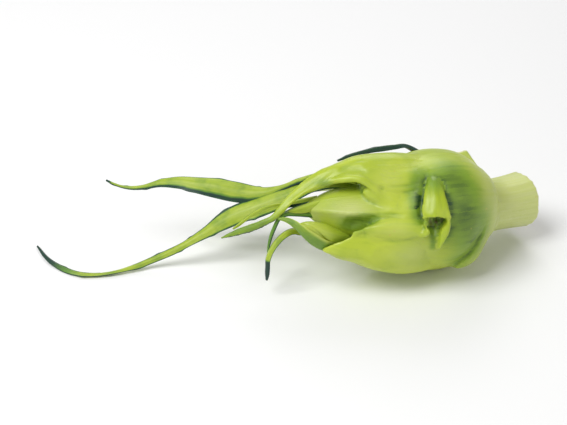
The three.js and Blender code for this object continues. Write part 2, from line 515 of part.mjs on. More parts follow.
function growSpindle(name, rows, sides, shape, colour) {
  const steps = rows.length * STEPS_PER_ROW;
  grow(name, spindle(rows, sides, steps, shape), spindle(rows, sides, steps, shape, GAP), colour);
}

grow('stem', withScar(spindle(STEM, STEM_SIDES, STEM_RINGS, ribs)),
  spindle(STEM, STEM_SIDES, STEM_RINGS, ribs, GAP), COLOURS.stem);
for (const [name, rows] of Object.entries(FLESHY_LEAVES)) {
  growLeaf(name, rows, COLOURS.fleshy);
}
growLeaf('cut_stalk', CUT_STALK, COLOURS.fleshy, [solid(loft(leafRings(TORN_HOLE)))]);
growSpindle('back_stalk', BACK_STALK, BUD_SIDES * 2, channelled, COLOURS.fleshy);
for (const [name, rows] of Object.entries(LEAVES)) {
  growLeaf(name, rows, DARK_LEAVES.includes(name) ? COLOURS.dark_blade : COLOURS.blade);
}
for (const [name, rows] of Object.entries(BUDS)) {
  growSpindle(name, rows, BUD_SIDES, round, COLOURS.bud);
}

// The origin is the middle of the whole shoot's box, on the floor.
const box = new THREE.Box3().setFromObject(group);
group.position.set(-(box.min.x + box.max.x) / 2, -(box.min.y + box.max.y) / 2, -box.min.z);
group.updateMatrixWorld(true);

export default group;
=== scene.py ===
import math

import bmesh
import bpy
import numpy as np
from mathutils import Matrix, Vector, bvhtree, kdtree, noise


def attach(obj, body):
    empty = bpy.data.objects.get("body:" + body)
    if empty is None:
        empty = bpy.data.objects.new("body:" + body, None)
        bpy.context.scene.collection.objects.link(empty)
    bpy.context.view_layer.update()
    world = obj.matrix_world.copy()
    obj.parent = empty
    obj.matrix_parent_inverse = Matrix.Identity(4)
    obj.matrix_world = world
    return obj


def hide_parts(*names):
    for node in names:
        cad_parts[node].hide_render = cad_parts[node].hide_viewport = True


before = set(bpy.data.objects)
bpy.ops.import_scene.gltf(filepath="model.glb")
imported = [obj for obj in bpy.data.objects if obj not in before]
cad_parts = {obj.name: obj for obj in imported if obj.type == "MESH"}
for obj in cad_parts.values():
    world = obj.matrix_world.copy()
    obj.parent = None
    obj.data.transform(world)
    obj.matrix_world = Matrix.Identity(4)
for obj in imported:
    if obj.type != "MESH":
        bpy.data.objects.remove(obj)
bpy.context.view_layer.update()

# ---------------------------------------------------------------------------------------------------------
# The swollen stem: one fat, blunt-ribbed body of crisp flesh that thins to a pale cut base behind and to a
# pointed tip in front. It is drawn out ring by ring from a disc, then laid along its curved centre line.

MM = 0.001
# Places are in millimetres from a point on the ground under the stem. The whole shoot's middle is MIDDLE.
MIDDLE = np.array([-42.042, 13.353, 0])
# The centre line from the tip to the cut base, and the radii along it.
STEM_ROUTE = [
    (-36.6, -0.8, 31), (-34.4, -0.5, 31.1), (-30.8, -0.2, 31), (-25.4, 0, 30.6), (-18, 0.3, 29.8),
    (-10, 1.4, 28.4), (-3, 3.6, 26.8), (5, 6.3, 25.2), (14, 9.4, 24.3), (24, 12.9, 23.4), (31, 15.4, 22),
    (35, 17.6, 20.8), (38.5, 20, 19.8), (44, 23.6, 18.2), (51, 28, 16.8), (58, 32.4, 15.6),
]
STEM_RADII = [0.4, 2.3, 4.9, 7.9, 10, 12.6, 17.2, 22.1, 24.7, 24.1, 20.6, 16, 12, 11, 11.2, 11.8]
# How many ribs and flutes go round it. Their heights and PRESSED_IN are shares of its radius.
RIBS, RIB_HEIGHT = 5, 0.02
FLUTES, FLUTE_HEIGHT = 21, 0.013
PRESSED_IN = 0.14


def blank(name, rings, sides):
    """A straight round blank along +X, of unit length and radius, drawn out ring by ring from a disc."""
    bpy.ops.object.select_all(action="DESELECT")
    turned = (0, math.pi / 2, 0)
    bpy.ops.mesh.primitive_circle_add(vertices=sides, radius=1, fill_type="NGON", rotation=turned)
    piece = bpy.context.object
    piece.name = name
    bpy.ops.object.transform_apply(location=True, rotation=True, scale=True)
    bpy.ops.object.mode_set(mode="EDIT")
    bpy.ops.mesh.select_all(action="SELECT")
    for _ in range(rings):
        bpy.ops.mesh.extrude_region_move(TRANSFORM_OT_translate={"value": (1 / rings, 0, 0)})
    bpy.ops.mesh.select_all(action="SELECT")
    bpy.ops.mesh.normals_make_consistent(inside=False)
    bpy.ops.object.mode_set(mode="OBJECT")
    return piece


def smooth_rows(rows, shares):
    """Rows of numbers, read at shares of their length on the smooth curve through them."""
    rows = np.array(rows, float)
    if rows.ndim == 1:
        rows = rows[:, None]
    padded = np.vstack([2 * rows[0] - rows[1], rows, 2 * rows[-1] - rows[-2]])
    place = np.clip(shares, 0, 1) * (len(rows) - 1)
    first = np.minimum(place.astype(int), len(rows) - 2)
    t = (place - first)[:, None]
    a, b, c, d = (padded[first + k] for k in range(4))
    lead, trail = (c - a) / 2, (d - b) / 2
    return b + t * (lead + t * (3 * (c - b) - 2 * lead - trail + t * (lead + trail - 2 * (c - b))))


def unit(vectors):
    return vectors / np.maximum(np.linalg.norm(vectors, axis=-1, keepdims=True), 1e-9)


def ramp(values, low, high):
    """How far values have come from low to high, from 0 to 1, smoothly."""
    share = np.clip((np.asarray(values, float) - low) / (high - low), 0, 1)
    return share * share * (3 - 2 * share)


def hump(values, middle, width):
    return np.exp(-((values - middle) / width) ** 2)


def corners(piece):
    """The piece's vertices as an array."""
    flat = np.zeros(len(piece.data.vertices) * 3)
    piece.data.vertices.foreach_get("co", flat)
    return flat.reshape(-1, 3)


def move_corners(piece, places):
    piece.data.vertices.foreach_set("co", np.asarray(places, float).ravel())
    piece.data.update()


def mark(piece, name, values):
    """Stores a number for every vertex, for the materials to read."""
    found = piece.data.attributes.get(name) or piece.data.attributes.new(name, "FLOAT", "POINT")
    found.data.foreach_set("value", np.broadcast_to(values, len(piece.data.vertices)).astype(np.float32))


def marked(piece, name):
    values = np.zeros(len(piece.data.vertices), np.float32)
    piece.data.attributes[name].data.foreach_get("value", values)
    return values.astype(float)


def mark_flow(piece, along, across, off):
    """Stores where a vertex lies along and across the grain, in millimetres, for streaks to follow."""
    found = piece.data.attributes.get("flow") or piece.data.attributes.new("flow", "FLOAT_VECTOR", "POINT")
    found.data.foreach_set("vector", np.column_stack([along, across, off]).astype(np.float32).ravel())


def route_frame(route, shares, face):
    """Centre, direction, side and face of a route at each share of its length, in millimetres."""
    centre = smooth_rows(route, shares)
    ahead = unit(smooth_rows(route, shares + 2e-3) - smooth_rows(route, shares - 2e-3))
    ends = (shares < 2e-3) | (shares > 1 - 2e-3)
    ahead[ends] = unit(smooth_rows(route, np.minimum(shares + 4e-3, 1)) -
                       smooth_rows(route, np.maximum(shares - 4e-3, 0)))[ends]
    outward = smooth_rows(face if np.ndim(face) == 2 else [face] * 2, shares)
    outward = unit(outward - ahead * (outward * ahead).sum(1, keepdims=True))
    return centre, ahead, np.cross(ahead, outward), outward


def lay_round(piece, route, radii, section=None):
    """Lays a round blank along a route. section tells how far from round it is, by share and angle: the
    angle is 0 on the near side and a quarter turn on top."""
    co = corners(piece)
    share, angle = co[:, 0], np.arctan2(co[:, 2], co[:, 1])
    centre, ahead, side, lift = route_frame(route, share, (0, 0, 1))
    radius = np.maximum(smooth_rows(radii, share)[:, 0], 0.3)
    if section:
        radius = radius * section(share, angle)
    reach = np.hypot(co[:, 1], co[:, 2]) * radius
    laid = centre + side * (reach * np.cos(angle))[:, None] + lift * (reach * np.sin(angle))[:, None]
    move_corners(piece, (laid - MIDDLE) * MM)
    length = np.linalg.norm(np.diff(np.array(route, float), axis=0), axis=1).sum()
    girth = max(radii) * 0.8
    mark_flow(piece, share * length, girth * np.cos(angle), girth * np.sin(angle))
    mark(piece, "along", share)
    mark(piece, "across", 0 * angle)


def stem_section(share, angle):
    """Blunt ribs, a ridge between two flat faces on the tip's near side, a flatter place at the lower right
    where it lay against its neighbours, and flutes at the base."""
    ribs = RIB_HEIGHT * np.minimum(1, share * 2) * np.cos(RIBS * angle + 1.2)
    tip = ramp(share, -0.02, 0.1) * ramp(-share, -0.5, -0.3)
    faces = 0.9 / np.maximum(np.maximum(np.cos(angle - 1.25), np.cos(angle + 0.25)), 0.6)
    flutes = FLUTE_HEIGHT * ramp(share, 0.7, 0.9) * np.cos(FLUTES * angle + 0.6 * np.sin(3 * angle))
    pressed = PRESSED_IN * hump(share, 0.68, 0.075) * hump(angle, -0.35, 0.8)
    return 1 + ribs + tip * hump(angle, 0.5, 0.9) * (faces - 1) + flutes - pressed


stem = blank("stem_form", 120, 96)
lay_round(stem, STEM_ROUTE, STEM_RADII, stem_section)

# ---------------------------------------------------------------------------------------------------------
# The leaf bases that clasp the stem: the hood over the tip, whose leaf narrows to a channelled strap with a
# green blade, the boat-shaped base under the tip, the sheath low at the right, and the back's two. Each is
# thick flesh where it grows out of the stem and thin at its margins.

# The ways that their outer sides look.
UP = (0, 0.35, 0.94)
DOWN_FRONT = (0, -0.76, -0.65)
BOAT_FACE = (-0.05, -0.96, -0.28)
STRAP_FACE = (-0.3, -0.5, 0.8)
STRAP_END = (-0.3, -0.75, 0.58)
SIDE = (0.4, -0.77, -0.5)
BACK = (0, 0.97, 0.26)
BACK_LOW = (-0.05, 0.9, -0.42)
# Rows: place on the midrib, width, thickness, cup (how far the margins fall back) and the outer side's way.
FLESHY_LEAVES = {
    "hood_leaf": [
        ((26, 19, 36), 22, 7, 6, UP), ((14, 16, 42), 26, 8, 6, UP), ((4, 13, 45.6), 29, 7, 9, UP),
        ((-5, 10.6, 47.2), 28, 6.4, 9.4, UP), ((-13, 8.4, 47.8), 21.5, 5.4, 3.4, (0, 0.2, 0.97)),
        ((-19.5, 6, 46.8), 14, 4.8, 1.4, (-0.1, 0.05, 0.97)),
        ((-24, 4.6, 46), 8.8, 4.2, 0.5, (-0.15, -0.1, 0.96)),
        ((-28.2, 3, 44.4), 7.2, 3.3, -0.4, STRAP_FACE), ((-32.6, 1.4, 42.1), 6.6, 2.7, -1.1, STRAP_FACE),
        ((-36.8, -0.4, 39.6), 5.6, 2.3, -1.1, STRAP_FACE), ((-41, -3, 37.1), 4.8, 2, -0.9, STRAP_FACE),
        ((-44.8, -5.6, 33.8), 4, 1.8, -0.5, STRAP_END), ((-47.6, -7, 31.4), 3.4, 1.6, -0.2, STRAP_END),
        ((-51.2, -7.4, 29.5), 3.6, 1.5, 0.2, STRAP_END), ((-55.8, -7, 27), 4, 1.4, 0.4, STRAP_END),
        ((-61.3, -6.4, 24.5), 3.6, 1.3, 0.4, STRAP_END), ((-65.7, -6, 22.4), 2.4, 1.2, 0.2, STRAP_END),
        ((-69.3, -5.8, 20.7), 0.8, 1, 0, STRAP_END),
    ],
    "front_leaf_base": [
        ((26, -1, 12), 20, 8, 6, DOWN_FRONT), ((13, -7.6, 11.8), 29, 9, 8, DOWN_FRONT),
        ((4, -12, 13), 28.5, 8, 8, (0, -0.8, -0.6)), ((-4, -14, 15.4), 26, 7, 6.6, (0, -0.88, -0.48)),
        ((-8.4, -14.8, 17.6), 23.5, 6.4, 5, (0, -0.92, -0.38)), ((-12, -15, 19.4), 20, 5.4, 3.6, BOAT_FACE),
        ((-16, -15, 19.9), 16.6, 4.6, 2.6, BOAT_FACE), ((-20, -14.8, 20), 13, 3.8, 1.8, BOAT_FACE),
        ((-23.5, -14.4, 20.5), 8.8, 3, 1, BOAT_FACE), ((-26.2, -14, 20.7), 4.4, 2.2, 0.4, BOAT_FACE),
        ((-28.2, -13.6, 20.5), 1.2, 1.4, 0, BOAT_FACE),
    ],
    "side_sheath": [
        ((43, 14.4, 15), 8, 3.4, 1, SIDE), ((39.8, 8.2, 14.5), 12, 3.8, 1.6, SIDE),
        ((36.9, 2.7, 13.4), 15, 4, 2, SIDE), ((33.1, -4.1, 11.8), 15, 3.8, 2, SIDE),
        ((28.9, -6.8, 10.4), 11, 3.2, 1, SIDE), ((23.8, -8, 10), 2, 1.8, 0, SIDE),
    ],
    "back_leaf": [
        ((22, 33, 28), 16, 6, 4, BACK), ((12, 33, 30), 19, 6, 5, BACK), ((0, 27.6, 31.6), 17, 5, 4.6, BACK),
        ((-10, 22, 32.4), 12, 3.4, 2.6, BACK), ((-22, 20.4, 30.4), 8, 2.2, 1.2, (-0.1, 0.85, 0.5)),
        ((-36, 21.6, 26), 6, 1.8, 0.8, (0, 0.6, 0.8)), ((-50, 23.6, 19.6), 5.4, 1.7, 0.7, (0.1, 0.5, 0.86)),
        ((-62, 25, 13), 4.4, 1.6, 0.5, (0.1, 0.5, 0.86)),
        ((-72, 26.4, 6.4), 2.8, 1.5, 0.3, (0.1, 0.5, 0.86)), ((-79, 27.4, 2), 1, 1.2, 0, (0.1, 0.5, 0.86)),
    ],
    "back_leaf_base": [
        ((40, 34, 12.6), 10, 4, 2, BACK_LOW), ((30, 36, 12), 17, 5, 4, BACK_LOW),
        ((19, 36.4, 12.2), 18, 5, 4, BACK_LOW), ((8, 34.4, 13.4), 14, 4, 2.6, BACK_LOW),
        ((-1, 31.4, 15.2), 8, 2.8, 1, BACK_LOW), ((-8, 29, 17.4), 1.4, 1.4, 0, BACK_LOW),
    ],
}
# How thick their margins are: at least so many millimetres, and at least this share of the middle.
FLESHY_EDGE = 1.1
FLESHY_EDGE_SHARE = 0.36


def lay_leaf(piece, rows, edge, rib=0.0, waves=0.0, teeth=0.0, seed=0, edge_share=0.0):
    """Lays a round blank along a leaf's rows with a crescent section. In millimetres: edge is the thickness
    of the margins, which is at least edge_share of the middle's, rib the rise of the midrib, waves how far
    the margins swing in and out, and teeth how far small teeth stand out."""
    co = corners(piece)
    share, s = co[:, 0], np.clip(co[:, 1], -1, 1)
    route = [row[0] for row in rows]
    width, thick, cup = (smooth_rows([row[k] for row in rows], share)[:, 0] for k in (1, 2, 3))
    centre, ahead, across, outward = route_frame(route, share, [row[4] for row in rows])
    rim = np.sqrt(np.maximum(1 - s * s, 0))
    upper = co[:, 2] / np.maximum(rim, 1e-6)
    body = np.clip(1 - (np.abs(s) / 0.85) ** 2, 0, 1)
    edge = np.maximum(edge, edge_share * thick)
    depth = upper * rim ** 0.5 * (edge + (np.maximum(thick, edge) - edge) * body) / 2
    depth += upper * rim * rib * np.exp(-(s / 0.2) ** 2) * np.clip(width / width.max() * 1.6, 0, 1)
    span = np.linalg.norm(np.diff(np.array(route, float), axis=0), axis=1).sum()
    length = share * span
    fade = np.clip(share * 8, 0, 1) * np.clip((1 - share) * 8, 0, 1)
    swing = 3.1 * seed + 1.9 * np.sign(s)
    margin = np.clip((np.abs(s) - 0.35) / 0.65, 0, 1) ** 2 * fade
    wave = waves * margin * (np.sin(length / 5.3 + swing) + 0.45 * np.sin(length / 2.3 + 2 * swing))
    tooth = np.maximum(np.sin(length / 2.9 + 2.3 * swing + 0.8 * np.sin(length / 7)), 0) ** 6
    reach = s * width / 2 + np.sign(s) * teeth * tooth * np.clip((np.abs(s) - 0.8) / 0.2, 0, 1) * fade
    laid = centre + across * reach[:, None] + outward * (depth - cup * s * s + wave)[:, None]
    move_corners(piece, (laid - MIDDLE) * MM)
    mark_flow(piece, length, reach, 40 + 9 * seed + upper)
    mark(piece, "along", share)
    mark(piece, "across", s)


forms = [stem]
for name, rows in FLESHY_LEAVES.items():
    form = blank(name + "_form", len(rows) * 8, 40)
    lay_leaf(form, rows, FLESHY_EDGE, rib=0.2, edge_share=FLESHY_EDGE_SHARE)
    forms.append(form)

# ---------------------------------------------------------------------------------------------------------
# The two cut leaf stalks. The front one is a flat flap that lies over the swelling and ends in a torn, open
# mouth with a strip of its skin left hanging. The back one is channelled, and cut straight across. Rolls of
# the stem's own flesh rise round them and under the tip.

CUT_STALK = [
    ((15, 3, 42.5), 3, 3.4, 0.1, (0, -0.3, 0.95)), ((15.3, -1.8, 45.2), 6, 3.6, 0.1, (0, -0.45, 0.9)),
    ((15.6, -5.7, 44.1), 8.6, 3.8, 0.1, (0, -0.6, 0.8)),
    ((15.9, -9.7, 42.2), 10.6, 3.8, 0.2, (0, -0.75, 0.65)),
    ((16.1, -13, 39.4), 12.4, 3.8, 0.5, (0, -0.86, 0.5)),
    ((16.3, -15.6, 36.3), 12.4, 3.6, 0.8, (0, -0.93, 0.36)),
]
TORN_STRIP = [
    ((20.3, -13.6, 37), 3, 4, 0.2, (0.25, -0.9, 0.35)),
    ((20.4, -14.7, 33), 4.4, 4, 0.2, (0.25, -0.95, 0.15)),
    ((19.8, -15.6, 30.1), 4.8, 3.6, 0.2, (0.2, -0.97, 0.1)),
    ((18.6, -16.6, 26.9), 3.4, 2.8, 0.2, (0.15, -0.98, 0)), ((17.3, -17, 23.3), 1.9, 2, 0.2, (0, -0.98, 0)),
    ((16.3, -16.6, 19.9), 0.8, 1.2, 0, (0, -0.98, -0.1)),
]
BACK_STALK_ROUTE = [(34.4, 27.6, 23.4), (32.8, 33.6, 26.8), (31.2, 38, 29.2), (29.6, 42, 31)]
BACK_STALK_RADII = [9.4, 7.4, 6.4, 6]
CHANNEL_DEPTH = 0.3
STRINGS, STRING_HEIGHT = 9, 0.03


def stalk_section(share, angle):
    """A channel down the upper side, and the strings of the stalk as blunt ribs."""
    return 1 - CHANNEL_DEPTH * hump(angle, math.pi / 2, 0.6) + STRING_HEIGHT * np.cos(STRINGS * angle)


# Rolls and swellings of the flesh: a route and the radii along it.
ROLLS = {
    # the hood's margin, which rolls in over the tip and runs out in a lobe on the body
    "hood_margin": ([(-34, -1, 39.8), (-31, -0.2, 41), (-28, 0.4, 42.3), (-25.4, 0.5, 43.4),
                     (-22.8, 0.2, 44.5), (-19.4, -0.6, 45.5), (-16, -1, 46.1), (-13.1, -1.8, 46),
                     (-10.3, -2.8, 44.8), (-6.8, -4.4, 42.4), (-3.4, -5.6, 40), (-0.6, -6.2, 38.4)],
                    [0.8, 1, 1.2, 1.3, 1.4, 1.5, 1.6, 1.6, 1.5, 1.4, 1.2, 0.7]),
    # the swelling between the tip's root and the boat, which starts as the boat's upper margin
    "band": ([(-16.5, -14.4, 28.4), (-13.7, -14.2, 29.6), (-10.3, -13.5, 30.2), (-6, -12.7, 30.3),
              (0, -11.7, 30.1), (7, -11.5, 29.6), (12, -11.6, 29)], [0.9, 1.4, 2.3, 3.3, 4.2, 4.8, 4.8]),
    # the flesh under the hood's lobe, which evens it into the tip
    "throat": ([(-12, -2.4, 41.4), (-8.5, -3.2, 40), (-4, -4, 38.4), (1, -5, 37)], [1.1, 2.6, 3.4, 4]),
    # the torn margin that curls round the hole under the flap
    "torn_margin": ([(10.3, -13.2, 36.2), (11.6, -14.3, 35.4), (12.4, -15.6, 33.5), (13, -16.7, 31.9),
                     (12, -17, 30.1), (9, -16.4, 28.6)], [0.6, 0.9, 1, 1.1, 1.1, 0.7]),
    # the flesh that the flap lies on
    "flap_root": ([(16, -3, 41.6), (16, -6.4, 40.6), (16.2, -9.6, 38.6), (16.4, -12, 36.6)],
                  [3, 3.6, 3.8, 3]),
    # the flesh that fills the hood out to the stem, and the stem's waist behind the tip
    "shoulder": ([(-13, 2.6, 41), (-9, 2.6, 41.2), (-4, 2.8, 40.8), (3, 3.2, 39.6), (11, 5, 37.6)],
                 [2.4, 5, 6.8, 8.4, 10]),
    "waist": ([(-4, -4, 26.8), (3, -4.2, 26.2), (12, -3, 25.8), (18, 0, 24), (26, 6, 22)],
              [3, 8.8, 13, 14.4, 12]),
}
for name, (route, radii) in ROLLS.items():
    form = blank(name + "_form", 40, 28)
    lay_round(form, route, radii)
    forms.append(form)

RAGGED_REACH = 2.2
for name, rows in {"cut_stalk": CUT_STALK, "torn_strip": TORN_STRIP}.items():
    form = blank(name + "_form", len(rows) * 8, 40)
    lay_leaf(form, rows, FLESHY_EDGE, edge_share=FLESHY_EDGE_SHARE)
    # the torn end runs further down at some places than at others
    co = corners(form)
    share, across = marked(form, "along"), marked(form, "across")
    ragged = np.array([noise.noise(Vector((s * 4.2, 2.5, 0))) for s in across]) * RAGGED_REACH
    co[:, 2] += np.clip((share - 0.8) / 0.2, 0, 1) * ragged * MM
    move_corners(form, co)
    forms.append(form)
back_stalk = blank("back_stalk_form", 20, 40)
lay_round(back_stalk, BACK_STALK_ROUTE, BACK_STALK_RADII, stalk_section)
forms.append(back_stalk)

# ---------------------------------------------------------------------------------------------------------
# The flesh as a whole: stem, leaf bases and stalks grew as one, so their forms are joined and fused into one
# skin. It is then worked like clay: calmed where two forms run into each other, and creased, dented and
# swollen along lines that lie on it.

SKIN_STEP = 0.55 * MM
FORM_NAMES = [form.name for form in forms]


def form_samples(form):
    """What is known at each vertex of a form: place, flow, along, across."""
    flow = np.zeros(len(form.data.vertices) * 3, np.float32)
    form.data.attributes["flow"].data.foreach_get("vector", flow)
    return np.column_stack([corners(form) / MM + MIDDLE, flow.reshape(-1, 3), marked(form, "along"),
                            marked(form, "across")])


samples = [form_samples(form) for form in forms]
sample_form = np.concatenate([np.full(len(found), k) for k, found in enumerate(samples)])
samples = np.vstack(samples)
nearest_sample = kdtree.KDTree(len(samples))
for k, place in enumerate(samples[:, :3]):
    nearest_sample.insert(place, k)
nearest_sample.balance()


def from_forms(places):
    """For each place, the form it came from and that form's flow, share along and share across."""
    found = [nearest_sample.find(place)[1] for place in places]
    return sample_form[found], samples[found, 3:6], samples[found, 6], samples[found, 7]


def apply_modifier(piece, kind, **settings):
    """Adds a modifier with these settings and applies it."""
    bpy.ops.object.select_all(action="DESELECT")
    piece.select_set(True)
    bpy.context.view_layer.objects.active = piece
    added = piece.modifiers.new(kind.lower(), kind)
    for name, value in settings.items():
        setattr(added, name, value)
    bpy.ops.object.modifier_apply(modifier=added.name)


bpy.ops.object.select_all(action="DESELECT")
for form in forms:
    form.select_set(True)
bpy.context.view_layer.objects.active = stem
bpy.ops.object.join()
shoot = bpy.context.object
shoot.name = "shoot"
apply_modifier(shoot, "REMESH", mode="VOXEL", voxel_size=SKIN_STEP)
apply_modifier(shoot, "SMOOTH", factor=0.5, iterations=3)


class Skin:
    """The shoot's surface as arrays, in the routes' millimetres, with brushes that move it and paint it."""

    def __init__(self, piece):
        self.piece = piece
        mesh = piece.data
        self.places = corners(piece) / MM + MIDDLE
        ends = np.zeros(len(mesh.edges) * 2, np.int64)
        mesh.edges.foreach_get("vertices", ends)
        self.ends = ends.reshape(-1, 2)
        self.count = len(mesh.vertices)
        self.degree = np.bincount(self.ends.ravel(), minlength=self.count)[:, None]
        self.paint = {}
        self.refresh()

    def refresh(self):
        """Writes the places back to the mesh and reads its normals and a tree of its faces."""
        move_corners(self.piece, (self.places - MIDDLE) * MM)
        normals = np.zeros(self.count * 3)
        self.piece.data.vertex_normals.foreach_get("vector", normals)
        self.normals = normals.reshape(-1, 3)
        bare = bmesh.new()
        bare.from_mesh(self.piece.data)
        self.tree = bvhtree.BVHTree.FromBMesh(bare)
        bare.free()

    def mean(self, values):
        """Each vertex's mean of its neighbours' values."""
        a, b = self.ends.T
        total = [np.bincount(a, column[b], self.count) + np.bincount(b, column[a], self.count)
                 for column in values.T]
        return np.column_stack(total) / self.degree

    def hollow(self, times):
        """How far each vertex lies below the mean of its surroundings, which times makes wider."""
        evened = self.places
        for _ in range(times):
            evened = self.mean(evened)
        return ((evened - self.places) * self.normals).sum(1)

    def snap(self, point):
        """The nearest point of the surface."""
        found = self.tree.find_nearest(Vector((np.array(point) - MIDDLE) * MM))[0]
        return np.array(found) / MM + MIDDLE

    def calm(self, centre, reach, times=12):
        """Evens out the surface round a place, most in the middle."""
        strength = np.clip(1 - np.linalg.norm(self.places - centre, axis=1) / reach, 0, 1)[:, None] ** 0.5
        for _ in range(times):
            self.places = self.places + strength * (self.mean(self.places) - self.places)

    def press(self, centre, reach, height):
        """Swells the surface round a place, or dents it where height is below zero."""
        away = np.linalg.norm(self.places - self.snap(centre), axis=1) / reach
        self.places = self.places + self.normals * (height * np.exp(-away ** 2))[:, None]

    def near(self, line, reach):
        """Vertices near a line laid on the surface: which, how far to its left, and where along it."""
        shares = np.linspace(0, 1, max(12, len(line) * 10))
        laid = np.array([self.snap(point) for point in smooth_rows(line, shares)])
        ahead = unit(np.gradient(laid, axis=0))
        low, high = laid.min(0) - reach, laid.max(0) + reach
        which = np.flatnonzero(((self.places > low) & (self.places < high)).all(1))
        gaps = self.places[which][:, None] - laid[None]
        closest = (gaps ** 2).sum(2).argmin(1)
        gap = gaps[np.arange(len(which)), closest]
        tangent = ahead[closest]
        inside = ((closest > 0) & (closest < len(shares) - 1))[:, None]
        gap = gap - tangent * (gap * tangent).sum(1, keepdims=True) * inside
        away = np.linalg.norm(gap, axis=1)
        side = np.sign((np.cross(self.normals[which], tangent) * gap).sum(1))
        keep = away < reach
        return which[keep], (away * side)[keep], shares[closest][keep]

    def crease(self, line, depth, width, ledge=0.0, fall=3.0, green=0.0):
        """Draws a furrow that fades at its ends, and greens it with painted shade. ledge raises the surface
        on its left, where one scale lies over the next, and fall is how far that takes to run out."""
        which, left, share = self.near(line, max(width * 3, fall * 2.5 if ledge else 0))
        fade = ramp(share, -0.05, 0.25) * ramp(-share, -1.05, -0.75)
        step = ledge * ramp(left, -0.3 * width, width) * np.exp(-np.maximum(left - width, 0) / fall)
        rise = (step - depth * hump(left, 0, width)) * fade
        self.places[which] += self.normals[which] * rise[:, None]
        self.stain("green", which, green * fade * hump(left, 0, width * 1.5))

    def stain(self, name, which, amount):
        """Adds to a paint where it isn't full yet."""
        layer = self.paint.setdefault(name, np.zeros(self.count))
        layer[which] = 1 - (1 - layer[which]) * (1 - np.clip(amount, 0, 1))

    def flush(self, name, centre, reach, amount):
        """Tints the surface round a place."""
        away = np.linalg.norm((self.places - np.array(centre)) / reach, axis=1)
        which = np.flatnonzero(away < 2.2)
        self.stain(name, which, amount * np.exp(-away[which] ** 2))


skin = Skin(shoot)
of_form, _, _, across = from_forms(skin.places)
# thin margins come out of the fusing a little stepped
thin = np.where(of_form > 0, np.clip((np.abs(across) - 0.7) / 0.2, 0, 1), 0)[:, None]
for _ in range(3):
    skin.places = skin.places + 0.6 * thin * (skin.mean(skin.places) - skin.places)
# Where the hood, the stem, the swelling and the front leaf base run into each other, and how far round.
MERGED_PLACES = [
    ((2, -3, 42), 9), ((6, 3, 45), 8), ((9, 10, 47), 9), ((12, -9, 12), 9), ((13, -13, 20), 7),
    ((3, -8, 37), 6), ((8, -8, 37), 5), ((27, -6, 30), 9), ((26, 2, 42), 9), ((16, 2.8, 45.8), 4),
    ((3, -17, 23), 8), ((5, -16, 28), 7), ((-2, -16.2, 27), 6),
    ((-8, -15.4, 28), 4.5), ((-10.4, -15.6, 26.6), 4), ((-2.6, -6.4, 39.4), 4.5),
]
for centre, reach in MERGED_PLACES:
    skin.calm(centre, reach, 24)
skin.refresh()

# A crease's line, depth, width, ledge, how far the ledge runs out, and how much painted shade greens it.
DEEP_CREASES = [
    # beside the flap, down to the hole under it
    (((13.4, 3, 46), (12.8, -0.6, 45.2), (11.9, -3.6, 44.4), (10.8, -6.4, 42.6), (10.3, -9, 40.2),
      (10.2, -11.2, 37.8), (10.6, -13.2, 35), (11.4, -14.4, 33)), 1.5, 0.95, 0, 3, 0.75),
    # the furrow over the roll of the hood's margin
    (((-22.6, 2.4, 45.6), (-19.4, 2.6, 47.2), (-16, 2.4, 48.2), (-13, 1.6, 47.8), (-10, 0.2, 46),
      (-8, -1, 44)), 0.45, 1.7, 0, 3, 0.15),
    # the flap's other side, then the torn strip's
    (((18.6, -1, 45.6), (19.4, -3.6, 44.8), (20.8, -7.2, 43), (22.4, -10.2, 39.9), (22.9, -12.4, 36.6),
      (23.3, -13.8, 32.2), (22.8, -14.8, 29.5), (21, -15.8, 26.4), (19, -16.4, 23)), 1.2, 1.0, 0, 3, 0.6),
    # under the tip, between it and the swelling that runs on from the boat
    (((-19.4, -10, 28), (-16.6, -11, 30), (-13, -11.4, 31.4), (-8.8, -11.8, 32), (-4, -12, 33)),
     1.1, 2.4, 0, 3, 0),
    # under that swelling
    (((-6, -15.4, 26.4), (-1.2, -15.9, 26.2), (3.6, -16.3, 26.3), (7, -16.8, 26.9), (11, -17.2, 28.4)),
     0.4, 0.8, 0.2, 2.6, 0.1),
    # the margin of the sheath at the lower right
    (((35, 0.6, 25), (33.8, -1.8, 21.5), (32.4, -3.4, 18.6), (29.4, -5.4, 14.4), (25.4, -6, 10),
      (22, -5.6, 6)), 0.5, 0.6, 1, 6, 0.25),
    # inside the strip's edge, down from the hole
    (((16.4, -15, 30.8), (15.6, -17, 28.4), (15.1, -17.4, 24.6), (14.8, -16.8, 20.4)), 0.9, 0.9, 0, 3, 0.5),
]
for line, depth, width, ledge, fall, _ in DEEP_CREASES:
    skin.crease(line, depth, width, ledge, fall)
# The hole that the torn fibres left: dents, each with its middle, its reach and its height.
HOLE = [((14.2, -14.6, 34.2), 1.9, -2.4), ((16.6, -14.6, 34.2), 2.1, -3), ((18.8, -14.8, 34.8), 1.4, -2),
        ((15.4, -15, 32.2), 1.9, -2.8), ((16, -14.6, 30.2), 1.4, -1.6)]
for centre, reach, height in HOLE:
    skin.press(centre, reach, height)

# The cut faces: where each lies, which way it looks, its radius, how deep it is dished, and how deep and
# wide the hollow in its pith is.
BASE_CUT = (np.array([58, 32.4, 15.6]), unit(np.array([10, 6.1, -1.5])), 11.8, 1.4, 3.4, 0.2)
STALK_CUT = (np.array([29.6, 42, 31]), unit(np.array([-1.6, 4, 1.8])), 6, 0.7, 1.2, 0.16)


def on_cut(places, cut):
    """How far places lie before a cut face, and how far out on it they lie as a share of its radius."""
    centre, axis, radius = cut[:3]
    before = -((places - centre) * axis).sum(1)
    out = np.linalg.norm(places - centre + axis * before[:, None], axis=1) / radius
    return before, out


